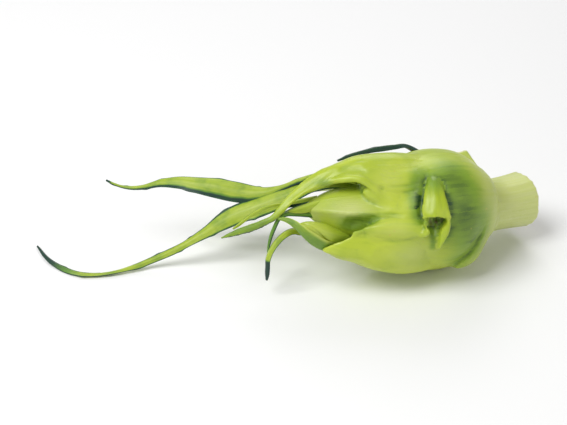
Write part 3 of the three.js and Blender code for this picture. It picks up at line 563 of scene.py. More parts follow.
CUT_ROUGHNESS = 0.5
for cut in (BASE_CUT, STALK_CUT):
    before, out = on_cut(skin.places, cut)
    _, axis, _, dish, hollow, width = cut
    rough = np.array([noise.fractal(Vector(place) * 0.35, 1, 2, 3) for place in skin.places[before < 2]])
    sink = dish * (1 - out ** 2) + hollow * np.exp(-(out / width) ** 4)
    sink = sink * ramp(-before, -2, -0.5) * ramp(-out, -1.02, -0.9)
    sink[before < 2] += CUT_ROUGHNESS * rough * ramp(-out[before < 2], -1.1, -0.9)
    skin.places = skin.places - axis * sink[:, None]
skin.refresh()
apply_modifier(shoot, "REMESH", mode="VOXEL", voxel_size=SKIN_STEP)
apply_modifier(shoot, "SMOOTH", factor=0.5, iterations=2)
skin = Skin(shoot)

# the deep creases get their painted shade in green on the new skin
for line, _, width, _, _, green in DEEP_CREASES:
    skin.crease(line, 0, width, green=green)
SOFT_CREASES = [
    # down the strap of the hood leaf, and its outer fold
    (((-26.4, 3, 46.4), (-30.4, 1.4, 44.4), (-35, -0.6, 41.8), (-39.6, -2.8, 39), (-43.6, -5.4, 35.6)),
     0.3, 0.6, 0, 3, 0.12),
    # along the tip, under its ridge
    (((-16, -9.2, 35), (-11.4, -9.6, 35), (-6, -10, 35.2), (-0.7, -10.4, 35.4), (5, -11.6, 35.8)),
     0.3, 0.8, 0.2, 3, 0.2),
    (((-14, -10, 33.8), (-8, -10.6, 34), (-2, -11, 34.4), (4, -12.4, 34.6)), 0.2, 0.7, 0, 3, 0.1),
    # the edge of a scale on the tip's lower face
    (((-19.2, -9.8, 29), (-18.3, -9.8, 31.6), (-18.4, -9.2, 34.2)), 0.1, 0.7, 0.12, 2, 0.05),
    # fine folds in the hood's flank
    (((11, -1.6, 44), (6, -2.6, 43.8), (1.4, -3.2, 43.6), (-3, -3.4, 43.6)), 0.25, 0.6, 0.15, 2, 0.18),
    (((10.6, -3.4, 42.6), (6.4, -4.4, 42), (2.4, -4.8, 41.8)), 0.2, 0.6, 0.1, 2, 0.12),
    (((-10, 5.6, 50.4), (-15, 5.4, 49), (-19.4, 4.4, 47), (-23.6, 3.6, 45)), 0.2, 0.8, 0.1, 2, 0.12),
    # across the boat, where its free end starts
    (((-6.4, -15.4, 24.6), (-8, -17.4, 22.4), (-9.8, -18.4, 19)), -0.3, 1.6, 0, 3, 0),
    # from the belly's lower edge up past the strip
    (((12.6, -17.4, 23.4), (13.4, -15.6, 18), (15.4, -12.8, 13), (18.4, -10.4, 9.4)), 0.2, 1, 0.15, 3, 0.03),
    # the flap's own folds
    (((14.2, -4, 47), (13.8, -9, 45), (13.6, -13.4, 41.6), (13.2, -16, 38.6)), 0.2, 0.8, 0, 3, 0.1),
    (((16.6, -6, 46), (17.6, -11, 43), (18.2, -15, 39.4)), 0.18, 0.7, 0, 3, 0.1),
    # on the torn strip
    (((19.6, -17.6, 32.6), (18.4, -18, 29.6), (17.2, -18.2, 26.8)), 0.3, 0.5, 0, 3, 0.35),
]
# each soft crease also gets painted shade in green
for line, depth, width, ledge, fall, green in SOFT_CREASES:
    skin.crease(line, depth, width, ledge, fall, green=green)

# Lengthwise fibres show as faint ridges all over the skin, and torn ones stand up as tufts in the hole.
FIBRE_HEIGHT = 0.09
TUFT_HEIGHT = 1.7
_, flow, _, _ = from_forms(skin.places)
grain = np.array([noise.fractal(Vector((a * 0.03, b * 0.62, c * 0.62)), 1, 2, 2) for a, b, c in flow])
skin.places = skin.places + skin.normals * (FIBRE_HEIGHT * grain)[:, None]
skin.flush("torn", (16, -12.6, 33), (3, 3.4, 2.6), 1.0)
frayed = np.flatnonzero(skin.paint["torn"] > 0.15)
tufts = np.array([noise.noise(Vector(place) * 1.05) for place in skin.places[frayed]])
tufts = TUFT_HEIGHT * tufts * skin.paint["torn"][frayed]
skin.places[frayed] += skin.normals[frayed] * tufts[:, None]
skin.places[:, 2] = np.maximum(skin.places[:, 2], 0)
skin.refresh()


def colour(red, green, blue):
    """A linear colour from 0 to 255 screen values."""
    return tuple(((c / 255 + 0.055) / 1.055) ** 2.4 for c in (red, green, blue)) + (1.0,)


class Recipe:
    """A material's nodes, added one at a time and joined by their sockets."""

    def __init__(self, name):
        self.material = bpy.data.materials.new(name)
        self.material.use_nodes = True
        self.nodes = self.material.node_tree.nodes
        self.links = self.material.node_tree.links
        self.shader = self.nodes["Principled BSDF"]

    def add(self, kind, inputs=(), **settings):
        node = self.nodes.new("ShaderNode" + kind)
        for name, value in settings.items():
            setattr(node, name, value)
        for socket, value in dict(inputs).items():
            self.set(node.inputs[socket], value)
        return node

    def set(self, socket, value):
        if isinstance(value, bpy.types.NodeSocket):
            self.links.new(value, socket)
        else:
            socket.default_value = value

    def attribute(self, name):
        return self.add("Attribute", attribute_name=name).outputs["Fac"]

    def math(self, operation, *values, clamp=False):
        node = self.add("Math", enumerate(values), operation=operation, use_clamp=clamp)
        return node.outputs[0]

    def noise(self, vector, scale, detail=2.0, rough=0.5):
        node = self.add("TexNoise", {"Vector": vector, "Scale": scale, "Detail": detail, "Roughness": rough})
        return node.outputs["Fac"]

    def stretch(self, vector, scale):
        return self.add("Mapping", {"Vector": vector, "Scale": scale}).outputs[0]

    def span(self, value, low, high, amount=1.0):
        """A value's place between low and high, from 0 to amount."""
        ends = {"Value": value, "From Min": low, "From Max": high, "To Max": amount}
        return self.add("MapRange", ends, interpolation_type="SMOOTHSTEP").outputs["Result"]

    def mix(self, factor, first, second, blend="MIX"):
        node = self.add("Mix", data_type="RGBA", blend_type=blend, clamp_factor=True)
        for socket, value in ((node.inputs[0], factor), (node.inputs[6], first), (node.inputs[7], second)):
            self.set(socket, value)
        return node.outputs[2]

    def bump(self, height, distance, normal=None):
        node = self.add("Bump", {"Height": height, "Distance": distance})
        if normal:
            self.links.new(normal, node.inputs["Normal"])
        return node.outputs[0]


FLESH = colour(166, 186, 36)
FLESH_LIGHT = colour(186, 201, 62)
FLESH_GREEN = colour(126, 158, 40)
FLESH_DEEP_AND_SHADE = colour(30, 68, 30)
FLESH_PALE_AND_HIGHLIGHT = colour(206, 212, 140)
RIM_HIGHLIGHT = colour(200, 212, 96)
PITH = colour(222, 218, 178)
TORN_BROWN = colour(98, 88, 34)
SPECK_BUFF = colour(196, 178, 78)
BLADE_DEEP = colour(20, 58, 44)


def flesh_material(name):
    """Crisp, slightly translucent flesh with fine lengthwise fibres under a thin waxy skin."""
    made = Recipe(name)
    place = made.add("TexCoord").outputs["Object"]
    flow = made.add("Attribute", attribute_name="flow").outputs["Vector"]
    fibres = made.noise(made.stretch(flow, (0.06, 1, 1)), 0.9, 3)
    fine_fibres = made.noise(made.stretch(flow, (0.06, 1, 1)), 3.2, 2)
    broad = made.noise(place, 42, 2)
    blotches = made.noise(place, 120, 3, 0.55)
    tone = made.mix(made.span(broad, 0.38, 0.66), FLESH, FLESH_LIGHT)
    tone = made.mix(made.span(blotches, 0.5, 0.8, 0.3), tone, FLESH_GREEN)
    tone = made.mix(made.span(fibres, 0.5, 0.8, 0.28), tone, FLESH_GREEN)
    tone = made.mix(made.span(fine_fibres, 0.5, 0.8, 0.3), tone, FLESH_LIGHT)
    warmth = made.math("ADD", 0.3, made.math("MULTIPLY", made.math("ADD", fibres, fine_fibres), 0.7))
    streaks = made.math("ADD", 0.6, made.math("MULTIPLY", fibres, 0.8))
    # the pale paint: paler flesh, and painted highlight on the tip, the swelling and the hood
    tone = made.mix(made.math("MULTIPLY", made.attribute("pale"), streaks), tone, FLESH_PALE_AND_HIGHLIGHT)
    # the green paint: the flesh's own green, and painted shade in creases, hollows, the hole and the right
    # side
    green = made.math("MULTIPLY", made.attribute("green"), warmth)
    tone = made.mix(made.span(green, 0.0, 0.5), tone, FLESH_GREEN)
    tone = made.mix(made.span(green, 0.4, 1.0), tone, FLESH_DEEP_AND_SHADE)
    # a painted highlight along raised margins
    tone = made.mix(made.attribute("rim"), tone, RIM_HIGHLIGHT)
    tone = made.mix(made.attribute("pith"), tone, PITH)
    frayed = made.span(made.noise(made.stretch(place, (1, 1, 0.3)), 900, 2), 0.4, 0.62)
    tone = made.mix(made.math("MULTIPLY", made.attribute("torn"), frayed), tone, TORN_BROWN)
    specks = made.span(made.noise(place, 640, 1), 0.74, 0.8, 0.5)
    tone = made.mix(specks, tone, SPECK_BUFF)
    tone = made.mix(made.attribute("tip"), tone, BLADE_DEEP)
    made.set(made.shader.inputs["Base Color"], tone)
    wax = made.math("ADD", 0.24, made.math("MULTIPLY", blotches, 0.22))
    dull = made.math("ADD", made.math("MULTIPLY", made.attribute("pith"), 0.4),
                     made.math("MULTIPLY", made.attribute("green"), 0.12))
    made.set(made.shader.inputs["Roughness"], made.math("ADD", wax, dull))
    height = made.bump(fibres, 0.0001)
    height = made.bump(fine_fibres, 0.00004, normal=height)
    height = made.bump(made.noise(place, 1400, 2), 0.000015, normal=height)
    made.set(made.shader.inputs["Normal"], height)
    made.shader.inputs["Subsurface Weight"].default_value = 0.25
    made.shader.inputs["Subsurface Radius"].default_value = (1.0, 1.0, 0.3)
    made.shader.inputs["Subsurface Scale"].default_value = 0.0025
    return made.material


# What the material reads at each place on the skin.
of_form, flow, along, across = from_forms(skin.places)
mark_flow(shoot, *flow.T)
is_hood = of_form == FORM_NAMES.index("hood_leaf_form")
is_roll = of_form == FORM_NAMES.index("hood_margin_form")
# Where the flesh is paler or greener, in many places as painted highlight and painted shade: the middle of
# each place, how far it reaches each way, and how strong it is.
TINTS_AND_PAINTED_LIGHT = {
    "pale": [
        # paler on the belly; painted highlight on the tip's flank, its point, the swelling under it, and the
        # hood's crown
        ((8, -18, 20), (9, 8, 7), 0.4), ((-17, -8.6, 36), (9, 6, 5), 0.75), ((-31, -4, 32), (5, 4, 4), 0.4),
        ((1, -16, 32), (8, 4, 3), 0.25), ((-3, 0, 47), (9, 8, 6), 0.15),
    ],
    "green": [
        # painted shade round the flap, partly over a green of its own
        ((10, -1, 46), (4, 7, 5), 0.5), ((8.8, -7, 41.6), (3.6, 5, 6), 0.6),
        ((9.2, -12, 36), (3, 4, 4), 0.5), ((16, -3, 46.6), (4, 4, 4), 0.6),
        # down the right side, a deeper green of its own under painted shade
        ((28, -8, 36), (9, 12, 13), 0.7), ((23, 2, 44), (8, 9, 7), 0.65), ((32, -6, 24), (11, 10, 10), 0.5),
        ((27, -7, 14), (8, 9, 7), 0.35),
        # painted shade in the furrow under the tip
        ((-13.6, -10.8, 30.8), (9.5, 4, 3.6), 0.62), ((-17.4, -10, 28.4), (4, 3, 2.6), 0.5),
        # painted shade under the hood's margin
        ((-26, 0.4, 43), (5, 2.2, 1.8), 0.6), ((-18, 0.6, 41.6), (6, 2.6, 1.7), 0.85),
        # a little greener on the boat, and painted shade in the hole
        ((-20, -13.6, 20), (8, 6, 3), 0.15), ((16.2, -13, 32.6), (2.6, 2.4, 2.4), 0.8),
    ],
}
for paint, places in TINTS_AND_PAINTED_LIGHT.items():
    for centre, reach, amount in places:
        skin.flush(paint, centre, reach, amount)
# The stem pales towards its base, between these places along X.
PALE_FROM, PALE_TO = 22.85, 50.6
base_fade = np.clip((skin.places[:, 0] - PALE_FROM) / (PALE_TO - PALE_FROM), 0, 1)
pale = 1 - (1 - skin.paint["pale"]) * (1 - base_fade ** 1.3 * 0.85)
pith = np.zeros(skin.count)
for cut in (BASE_CUT, STALK_CUT):
    before, out = on_cut(skin.places, cut)
    facing = ramp((skin.normals * cut[1]).sum(1), 0.1, 0.4) * ramp(-before, -6, -5) * ramp(-out, -1.1, -1)
    ring = hump(out, 0.84, 0.05)
    pith = np.maximum(pith, facing * (1 - 0.45 * ring))
    pale = np.maximum(pale, facing * 0.7)
    skin.stain("green", np.arange(skin.count), facing * ring * 0.35)
blade = np.where(is_hood, ramp(along, 0.62, 0.78), 0)
skin.stain("green", np.arange(skin.count), 0.55 * blade)
mark(shoot, "pale", pale)
mark(shoot, "pith", pith)
mark(shoot, "torn", skin.paint["torn"])
mark(shoot, "tip", blade * np.maximum(ramp(-across, 0.55, 0.8), 0.8 * ramp(across, 0.8, 0.95)))
# hollows get painted shade, the flap's upper side is greenest at its root, raised margins a painted
# highlight
close_hollow, wide_hollow = skin.hollow(20), skin.hollow(110)
is_flap = np.isin(of_form, [FORM_NAMES.index("cut_stalk_form"), FORM_NAMES.index("torn_strip_form")])
own_green = np.where(skin.places[:, 2] > 36, 0.6 * ramp(skin.places[:, 2], 42, 48), 0.1)
skin.paint["green"] = np.where(is_flap & (skin.paint["torn"] < 0.3), own_green, skin.paint["green"])
hollow_shade = 0.5 * ramp(close_hollow, 0.1, 0.7) + 0.16 * ramp(wide_hollow, 0.6, 2.6)
mark(shoot, "green", 1 - (1 - skin.paint["green"]) * (1 - np.clip(hollow_shade, 0, 1) * (1 - pith)))
# a painted highlight on the hood's rolled margin and on raised, convex leaf margins
rim_highlight = np.where(is_roll, 0.6, np.where(of_form > 0, ramp(np.abs(across), 0.82, 0.93), 0))
rim_highlight = (rim_highlight * ramp(-close_hollow, 0.3, 0.8) * 0.75)[:, None]
for _ in range(5):
    rim_highlight = skin.mean(rim_highlight)
mark(shoot, "rim", rim_highlight[:, 0])
shoot.data.materials.clear()
shoot.data.materials.append(flesh_material("shoot_flesh"))
bpy.ops.object.shade_smooth()
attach(shoot, "root")
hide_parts("stem", "hood_leaf", "front_leaf_base", "side_sheath", "back_leaf", "back_leaf_base",
            "cut_stalk", "back_stalk")

# ---------------------------------------------------------------------------------------------------------
# The thin leaves and bracts that stand out of the shoot's tip: lime blades with a faint midrib and thin dark
# margins, each a single soft sheet whose narrow inner end grows out of the stem.

LEFT_FACE = (-0.25, -0.6, 0.76)
LEAVES = {
    "broad_leaf": [
        ((-14, 6.4, 37.4), 5, 1.8, 0.8, (0, 0.2, 0.97)), ((-22, 7.6, 38.6), 5.4, 1.6, 0.8, (0, 0, 1)),
        ((-30.8, 8, 37.6), 6, 1.5, 0.8, (-0.2, -0.3, 0.93)),
        ((-36.4, 9, 34.8), 6.8, 1.4, 0.8, (-0.25, -0.5, 0.83)),
        ((-42.6, 9.5, 31.4), 8.2, 1.4, 0.8, LEFT_FACE), ((-49.4, 9.5, 28.5), 9.2, 1.3, 0.9, LEFT_FACE),
        ((-56.2, 9.2, 25.7), 9.4, 1.3, 0.9, LEFT_FACE), ((-63, 8.8, 23.2), 8.8, 1.3, 0.8, LEFT_FACE),
        ((-69.4, 8.2, 19.6), 7.4, 1.2, 0.7, LEFT_FACE), ((-75.8, 7.5, 15.2), 5.2, 1.2, 0.6, LEFT_FACE),
        ((-82.7, 6.2, 11), 3.8, 1.2, 0.5, LEFT_FACE), ((-90.3, 5, 7), 3.2, 1.2, 0.4, LEFT_FACE),
        ((-98.3, 3.4, 3.9), 2.8, 1.2, 0.2, LEFT_FACE), ((-107, 0.6, 1.9), 2.5, 1.1, 0.2, (0, -0.3, 0.95)),
        ((-116.4, -2.2, 1.1), 2.4, 1.1, 0.2, (0, 0, 1)), ((-126, -2.6, 0.9), 2.6, 1.1, 0.1, (0, 0, 1)),
        ((-135, 1.8, 0.9), 2.6, 1, 0.1, (0, 0, 1)), ((-142.4, 9.2, 0.9), 2, 1, 0.1, (0, 0, 1)),
        ((-148, 18.4, 0.8), 0.8, 0.8, 0, (0, 0, 1)),
    ],
    "upper_leaf": [
        ((-14, 10, 38.6), 5, 2, 1.2, (0, 0.4, 0.9)), ((-21, 10, 42.6), 4.4, 1.8, 1, (0, 0.1, 0.99)),
        ((-27, 10.4, 42), 3.2, 1.6, 0.6, (-0.1, 0, 0.99)),
        ((-33.1, 11.5, 39.2), 2.8, 1.5, 0.4, (-0.2, -0.3, 0.93)),
        ((-38.7, 12.5, 36.4), 2.8, 1.4, 0.4, (-0.3, -0.4, 0.86)),
        ((-45.5, 13.2, 32.8), 3.4, 1.3, 0.5, (-0.3, -0.5, 0.8)),
        ((-51.2, 13.8, 30.4), 5.2, 1.3, 0.7, (-0.1, -0.6, 0.8)),
        ((-56.9, 14.5, 29.7), 7.6, 1.3, 1, (0, -0.6, 0.8)),
        ((-63.7, 15.5, 30.1), 8.8, 1.3, 1.1, (0, -0.65, 0.75)),
        ((-71.7, 17, 30.9), 8.4, 1.3, 0.9, (0, -0.7, 0.7)),
        ((-79.9, 19, 31.2), 7.2, 1.3, 0.7, (0, -0.6, 0.8)),
        ((-86.8, 20.5, 31.4), 5.8, 1.2, 0.5, (0, -0.5, 0.86)),
        ((-94.5, 22, 30), 3.4, 1.2, 0.3, (0, -0.5, 0.86)),
        ((-102.4, 23.2, 27.4), 2.2, 1.1, 0.2, (0, -0.5, 0.86)),
        ((-109, 24, 26.6), 1.7, 1, 0.1, (0, -0.5, 0.86)),
        ((-114, 24.6, 27.8), 1.3, 1, 0.1, (0, -0.5, 0.86)),
        ((-117.6, 25, 29.6), 0.8, 0.8, 0, (0, -0.5, 0.86)),
    ],
    "fan_leaf_1": [
        ((-30, 3.4, 34.6), 2.2, 1.5, 0.2, (0, -0.2, 0.97)),
        ((-38.6, 3, 32.9), 1.8, 1.3, 0.2, (-0.2, -0.4, 0.9)), ((-42.9, 1, 33.1), 1.6, 1.2, 0.1, LEFT_FACE),
        ((-47.2, -0.5, 33.4), 1.6, 1.1, 0.2, LEFT_FACE), ((-51, -1.5, 32.8), 1.7, 1.1, 0.2, LEFT_FACE),
        ((-54.6, -2, 31), 1.6, 1.1, 0.2, LEFT_FACE), ((-57.9, -2.6, 28.6), 1.4, 1, 0.1, LEFT_FACE),
        ((-61.6, -3.2, 25.6), 1.2, 1, 0.1, LEFT_FACE), ((-63.8, -3.6, 24), 0.8, 0.8, 0, LEFT_FACE),
    ],
    "fan_leaf_2": [
        ((-29, -2.6, 30), 2.6, 1.5, 0.3, (0, -0.7, 0.7)),
        ((-38.4, -4, 31.6), 2.4, 1.3, 0.3, (0, -0.6, 0.8)),
        ((-42.7, -5, 32), 2.2, 1.3, 0.3, (-0.3, -0.6, 0.7)),
        ((-45.4, -6.2, 30.6), 2, 1.2, 0.2, (-0.6, -0.6, 0.4)),
        ((-47, -7.6, 28), 1.9, 1.2, 0.2, (-0.7, -0.6, 0.2)),
        ((-48.5, -8.8, 24.4), 1.8, 1.1, 0.2, (-0.7, -0.6, 0.1)),
        ((-49.4, -9.6, 20.4), 1.5, 1, 0.1, (-0.7, -0.6, 0)),
        ((-49.8, -10, 17), 0.8, 0.8, 0, (-0.7, -0.6, 0)),
    ],
    "fan_leaf_3": [
        ((-20, 8, 29), 4, 1.6, 0.4, (0, 0, 1)), ((-32, 10.6, 27.6), 4, 1.3, 0.5, (0, 0, 1)),
        ((-44, 13, 25), 4.2, 1.3, 0.5, (0, -0.1, 0.99)), ((-56, 14.6, 21), 4, 1.2, 0.5, (0.1, -0.2, 0.97)),
        ((-66, 15.6, 15.6), 3, 1.1, 0.3, (0.2, -0.2, 0.95)),
        ((-74, 16.4, 9.6), 0.8, 0.8, 0, (0.2, -0.2, 0.95)),
    ],
    "curled_leaf": [
        ((-24, -1, 23), 3, 1.6, 0.3, (0, -0.4, 0.9)), ((-31, -1.4, 21.8), 3, 1.4, 0.4, (0, -0.5, 0.86)),
        ((-36.4, -2.6, 22), 3, 1.4, 0.4, (-0.1, -0.6, 0.8)),
        ((-39.4, -5, 24), 3, 1.3, 0.4, (-0.2, -0.6, 0.75)),
        ((-42.4, -8, 24.8), 3, 1.3, 0.4, (-0.4, -0.6, 0.7)),
        ((-45.6, -11, 23.6), 3, 1.3, 0.4, (-0.6, -0.6, 0.5)),
        ((-48.4, -13.4, 20.4), 3, 1.2, 0.3, (-0.7, -0.6, 0.3)),
        ((-49.9, -14.8, 16.6), 2.8, 1.2, 0.3, (-0.7, -0.7, 0.1)),
        ((-50, -15, 13), 2.4, 1.3, 0.2, (-0.6, -0.8, 0)),
        ((-50.1, -15, 9.8), 2.2, 1.4, 0.1, (-0.6, -0.8, 0)), ((-50.3, -15, 7), 1, 1, 0, (-0.6, -0.8, 0)),
    ],
    "tip_bract_upper": [
        ((-26.6, -1, 35.6), 3.6, 1.8, 0.8, (-0.1, -0.2, 0.97)),
        ((-31.4, -2, 34.8), 4.2, 1.7, 1.1, (-0.3, -0.4, 0.87)),
        ((-35.4, -3, 33.8), 4, 1.6, 1.1, (-0.4, -0.5, 0.76)),
        ((-39, -4, 33.2), 2.6, 1.4, 0.5, (-0.4, -0.5, 0.76)),
        ((-41.6, -4.6, 33), 0.8, 0.8, 0, (-0.4, -0.5, 0.76)),
    ],
    "tip_bract_lower": [
        ((-26, 4.4, 29), 6, 1.8, 1.2, (-0.1, 0.9, -0.3)),
        ((-33, 5.6, 28.6), 5, 1.4, 0.9, (-0.3, 0.9, -0.2)), ((-40, 5.4, 27), 3, 1.3, 0.3, (-0.2, 0.9, 0)),
        ((-47, 4.6, 24), 0.8, 0.8, 0, (-0.2, 0.9, 0)),
    ],
    "side_bud_bract": [
        ((-17, -5, 16.6), 6, 1.8, 1, (0, -0.5, -0.86)),
        ((-22.8, -8.6, 17.4), 8, 1.7, 2, (-0.2, -0.7, -0.7)),
        ((-27.4, -11.6, 19.8), 8.6, 1.6, 2.6, (-0.4, -0.75, -0.5)),
        ((-31.4, -13.2, 23), 8.4, 1.5, 2.6, (-0.6, -0.7, -0.4)),
        ((-34.8, -13.6, 26.6), 7, 1.4, 2, (-0.7, -0.65, -0.2)),
        ((-37.4, -13, 29.8), 4.8, 1.3, 1.1, (-0.7, -0.65, 0.1)),
        ((-39.8, -11.6, 31.8), 3, 1.2, 0.5, (-0.6, -0.65, 0.4)),
        ((-42.6, -10.2, 32.6), 2, 1.1, 0.2, (-0.4, -0.7, 0.6)),
        ((-45.6, -9.2, 32.4), 0.8, 0.8, 0, (-0.4, -0.7, 0.6)),
    ],
    "top_leaf": [
        ((20.6, 26.4, 36.4), 5, 2, 1, (0, 0.7, 0.7)), ((8.5, 28.2, 43.6), 4, 1.6, 0.7, (0, 0.5, 0.86)),
        ((1.6, 25.2, 45.6), 3.4, 1.4, 0.5, (0, 0.1, 0.99)),
        ((-5, 21.8, 46.6), 3, 1.3, 0.4, (0, -0.2, 0.97)),
        ((-10.8, 18.6, 47), 2.6, 1.2, 0.3, (0, -0.3, 0.95)),
        ((-16.4, 15.8, 46.8), 2, 1.1, 0.2, (0, -0.3, 0.95)),
        ((-21.8, 13, 46), 0.8, 0.8, 0, (0, -0.3, 0.95)),
    ],
}
BLADE_LIME = colour(164, 184, 46)
BLADE_LIGHT = colour(182, 197, 80)
BLADE_GREEN = colour(92, 136, 44)


def blade_material(name):
    """A soft lime blade with a paler rib and thin margins of deep green."""
    made = Recipe(name)
    place = made.add("TexCoord").outputs["Object"]
    flow = made.add("Attribute", attribute_name="flow").outputs["Vector"]
    fibres = made.noise(made.stretch(flow, (0.07, 1, 1)), 1.3, 3)
    fine_fibres = made.noise(made.stretch(flow, (0.08, 1, 1)), 4.5, 2)
    blotches = made.noise(place, 160, 3, 0.55)
    tone = made.mix(made.span(fibres, 0.4, 0.7, 0.7), BLADE_LIME, BLADE_LIGHT)
    tone = made.mix(made.span(blotches, 0.45, 0.75, 0.4), tone, BLADE_GREEN)
    tone = made.mix(made.span(fine_fibres, 0.5, 0.8, 0.35), tone, BLADE_GREEN)
    tone = made.mix(made.attribute("rib"), tone, BLADE_LIGHT)
    uneven = made.math("MULTIPLY", made.math("SUBTRACT", blotches, 0.5), 0.3)
    shade = made.math("ADD", made.attribute("shade"), uneven)
    tone = made.mix(made.span(shade, 0.0, 0.5), tone, BLADE_GREEN)
    tone = made.mix(made.span(shade, 0.45, 1.0), tone, BLADE_DEEP)
    # a painted highlight along some blades' margins
    tone = made.mix(made.attribute("rim"), tone, RIM_HIGHLIGHT)
    made.set(made.shader.inputs["Base Color"], tone)
    made.set(made.shader.inputs["Roughness"], made.math("ADD", 0.38, made.math("MULTIPLY", blotches, 0.25)))
    height = made.bump(fibres, 0.00008)
    height = made.bump(fine_fibres, 0.00004, normal=height)
    made.set(made.shader.inputs["Normal"], height)
    made.shader.inputs["Subsurface Weight"].default_value = 0.25
    made.shader.inputs["Subsurface Radius"].default_value = (1.0, 1.0, 0.3)
    made.shader.inputs["Subsurface Scale"].default_value = 0.0015
    return made.material


# How green a leaf is all over, how wide its dark margins are (near and far side, as shares of half the
# width), between which shares of its length the point turns dark, and how strong its painted rim highlight
# is. NEVER lies past the end, for a point that stays light.
NEVER = (2, 3)
SHADES = {
    "broad_leaf": (0.1, 0.14, 0.26, (0.8, 0.96), 0), "upper_leaf": (0.12, 0.45, 0.08, (0.95, 0.99), 0),
    "fan_leaf_1": (-0.1, 0, 0.3, NEVER, 0.2), "fan_leaf_2": (0.45, 0.2, 0.2, NEVER, 0),
    "fan_leaf_3": (0.6, 0.5, 0.5, (0.5, 0.54), 0), "curled_leaf": (-0.1, 0.1, 0.3, (0.69, 0.73), 0),
    "tip_bract_upper": (0, 0, 0.1, NEVER, 0.3), "tip_bract_lower": (0.2, 0.2, 0.2, NEVER, 0),
    "side_bud_bract": (0.3, 0, 0, NEVER, 1), "top_leaf": (0.9, 0.5, 0.5, NEVER, 0),
}
TOOTHED = ("broad_leaf", "upper_leaf", "fan_leaf_3", "top_leaf")
# In millimetres, how far apart a blade's rings are and how thick its margins are.
BLADE_STEP = 0.6
BLADE_EDGE = 0.5
leaf_finish = blade_material("leaf_finish")
for seed, (name, rows) in enumerate(LEAVES.items()):
    length = np.linalg.norm(np.diff(np.array([row[0] for row in rows], float), axis=0), axis=1).sum()
    widest = max(row[1] for row in rows)
    piece = blank(name + "_blade", int(length / BLADE_STEP), 40)
    lay_leaf(piece, rows, BLADE_EDGE, rib=0.012 * widest, waves=0.035 * widest,
             teeth=0.035 * widest * (name in TOOTHED), seed=seed)
    share, across = marked(piece, "along"), marked(piece, "across")
    green, near, far, tip_turn, rim = SHADES[name]
    ragged = np.array([noise.fractal(Vector((a * length * 0.22, seed, np.sign(s))), 1, 2, 2)
                       for a, s in zip(share, across)])
    wide = np.where(across < 0, near, far) * (1 + 0.22 * ragged)
    margin = ramp(np.abs(across), 1 - 1.2 * wide, 1 - 0.5 * wide) * (wide > 0.02)
    tip = ramp(share, *tip_turn)
    mark(piece, "shade", np.maximum(green + 0.9 * margin, 1.1 * tip))
    mark(piece, "rib", 0.22 * hump(across, 0, 0.12) * (1 - tip))
    # the margins' painted highlight
    mark(piece, "rim", 0.7 * rim * ramp(np.abs(across), 0.84, 0.94))
    piece.data.materials.append(leaf_finish)
    bpy.ops.object.shade_smooth()
    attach(piece, "root")
    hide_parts(name)

# ---------------------------------------------------------------------------------------------------------
# The two small buds, each a plump spindle of tight scales, one in the bract at the tip's near side and one
# on the back.

BUDS = {
    "side_bud": ([(-18, -7, 21.6), (-23, -8.6, 23.4), (-28, -9.6, 26), (-32, -10.2, 28), (-35, -10.4, 29.2),
                  (-37, -10.4, 29.8), (-38, -10.2, 30)], [2.6, 3.5, 3.9, 3.4, 2.4, 1.2, 0.4]),
    "back_bud": ([(8, 27, 20), (1, 28.2, 22.4), (-6, 26.8, 24.4), (-11, 25.4, 26), (-13, 24.8, 26.6)],
                 [2.6, 3.8, 3.2, 1.6, 0.4]),
}


SCALES = 3


def bud_section(share, angle):
    """Scales wound round the bud, each with an edge that stands over the next."""
    turn = (SCALES * angle / (2 * math.pi) + 1.6 * share) % 1
    edge = 0.13 * (turn - 0.5) * ramp(share, 0.1, 0.3) * ramp(-turn, -1, -0.86)
    return 1 + edge - 0.06 * hump(turn, 0.03, 0.05)


bud_finish = flesh_material("bud_flesh")
for name, (route, radii) in BUDS.items():
    piece = blank(name + "_scales", 60, 64)
    lay_round(piece, route, radii, bud_section)
    share = marked(piece, "along")
    mark(piece, "green", 0.1 + 0.2 * ramp(-share, -0.4, 0))
    mark(piece, "pale", 0.15 * hump(share, 0.5, 0.2))
    for paint in ("rim", "pith", "torn", "tip"):
        mark(piece, paint, 0.0)
    piece.data.materials.append(bud_finish)
    bpy.ops.object.shade_smooth()
    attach(piece, "root")
    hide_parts(name)

# ---------------------------------------------------------------------------------------------------------
# The stage: a plain white floor that the shoot lies on, three soft lamps under a bright sky, and the camera,
# which looks down at the shoot from the front.

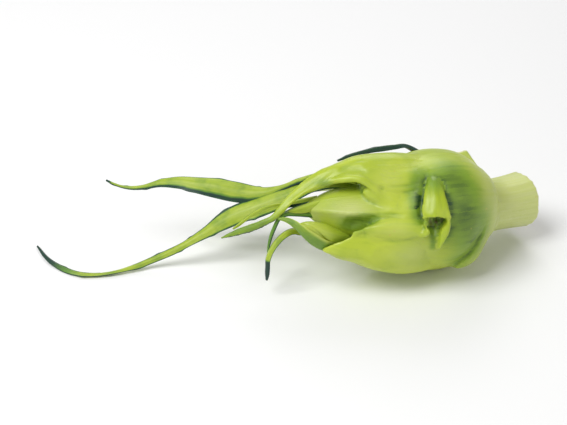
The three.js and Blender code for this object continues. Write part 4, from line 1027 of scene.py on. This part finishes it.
FLOOR_SIZE = 2.6
bpy.ops.object.select_all(action="DESELECT")
bpy.ops.mesh.primitive_plane_add(size=FLOOR_SIZE, location=(0, 0, 0))
floor = bpy.context.object
floor.name = "floor"
paper = bpy.data.materials.new("floor_paper")
paper.use_nodes = True
paper.node_tree.nodes["Principled BSDF"].inputs["Base Color"].default_value = (0.9, 0.9, 0.9, 1)
paper.node_tree.nodes["Principled BSDF"].inputs["Roughness"].default_value = 0.8
floor.data.materials.append(paper)


def area_light(name, place, size, power, target=(0.04, 0, 0.02)):
    light = bpy.data.objects.new(name, bpy.data.lights.new(name, "AREA"))
    bpy.context.scene.collection.objects.link(light)
    light.location = place
    light.rotation_euler = (Vector(target) - Vector(place)).to_track_quat("-Z", "Y").to_euler()
    light.data.size = size
    light.data.energy = power
    return light


# Each lamp's place, size and power.
area_light("key", (-0.5, -0.3, 0.9), 0.6, 9)
area_light("fill", (0.8, -0.6, 0.5), 0.8, 1.6)
area_light("back", (0.1, 0.9, 0.7), 0.6, 3)
SKY_LIGHT = 0.36
world = bpy.data.worlds.new("studio")
bpy.context.scene.world = world
world.use_nodes = True
world.node_tree.nodes["Background"].inputs["Color"].default_value = (1, 1, 1, 1)
# the sky lights the shoot softly but looks white
rays = world.node_tree.nodes.new("ShaderNodeLightPath")
sky = world.node_tree.nodes.new("ShaderNodeMath")
sky.operation = "MULTIPLY_ADD"
sky.inputs[1].default_value = 1 - SKY_LIGHT
sky.inputs[2].default_value = SKY_LIGHT
world.node_tree.links.new(rays.outputs["Is Camera Ray"], sky.inputs[0])
world.node_tree.links.new(sky.outputs[0], world.node_tree.nodes["Background"].inputs["Strength"])

VIEW_RISE = math.radians(32.5)
VIEW_TARGET = Vector((-0.0015, 0, 0.021))
VIEW_DISTANCE = 0.56
camera = bpy.data.objects.new("camera", bpy.data.cameras.new("camera"))
bpy.context.scene.collection.objects.link(camera)
camera.location = VIEW_TARGET + VIEW_DISTANCE * Vector((0, -math.cos(VIEW_RISE), math.sin(VIEW_RISE)))
camera.rotation_euler = (math.pi / 2 - VIEW_RISE, 0, 0)
camera.data.lens = 86
camera.data.clip_start = 0.01
bpy.context.scene.camera = camera
bpy.context.scene.view_settings.view_transform = "Standard"
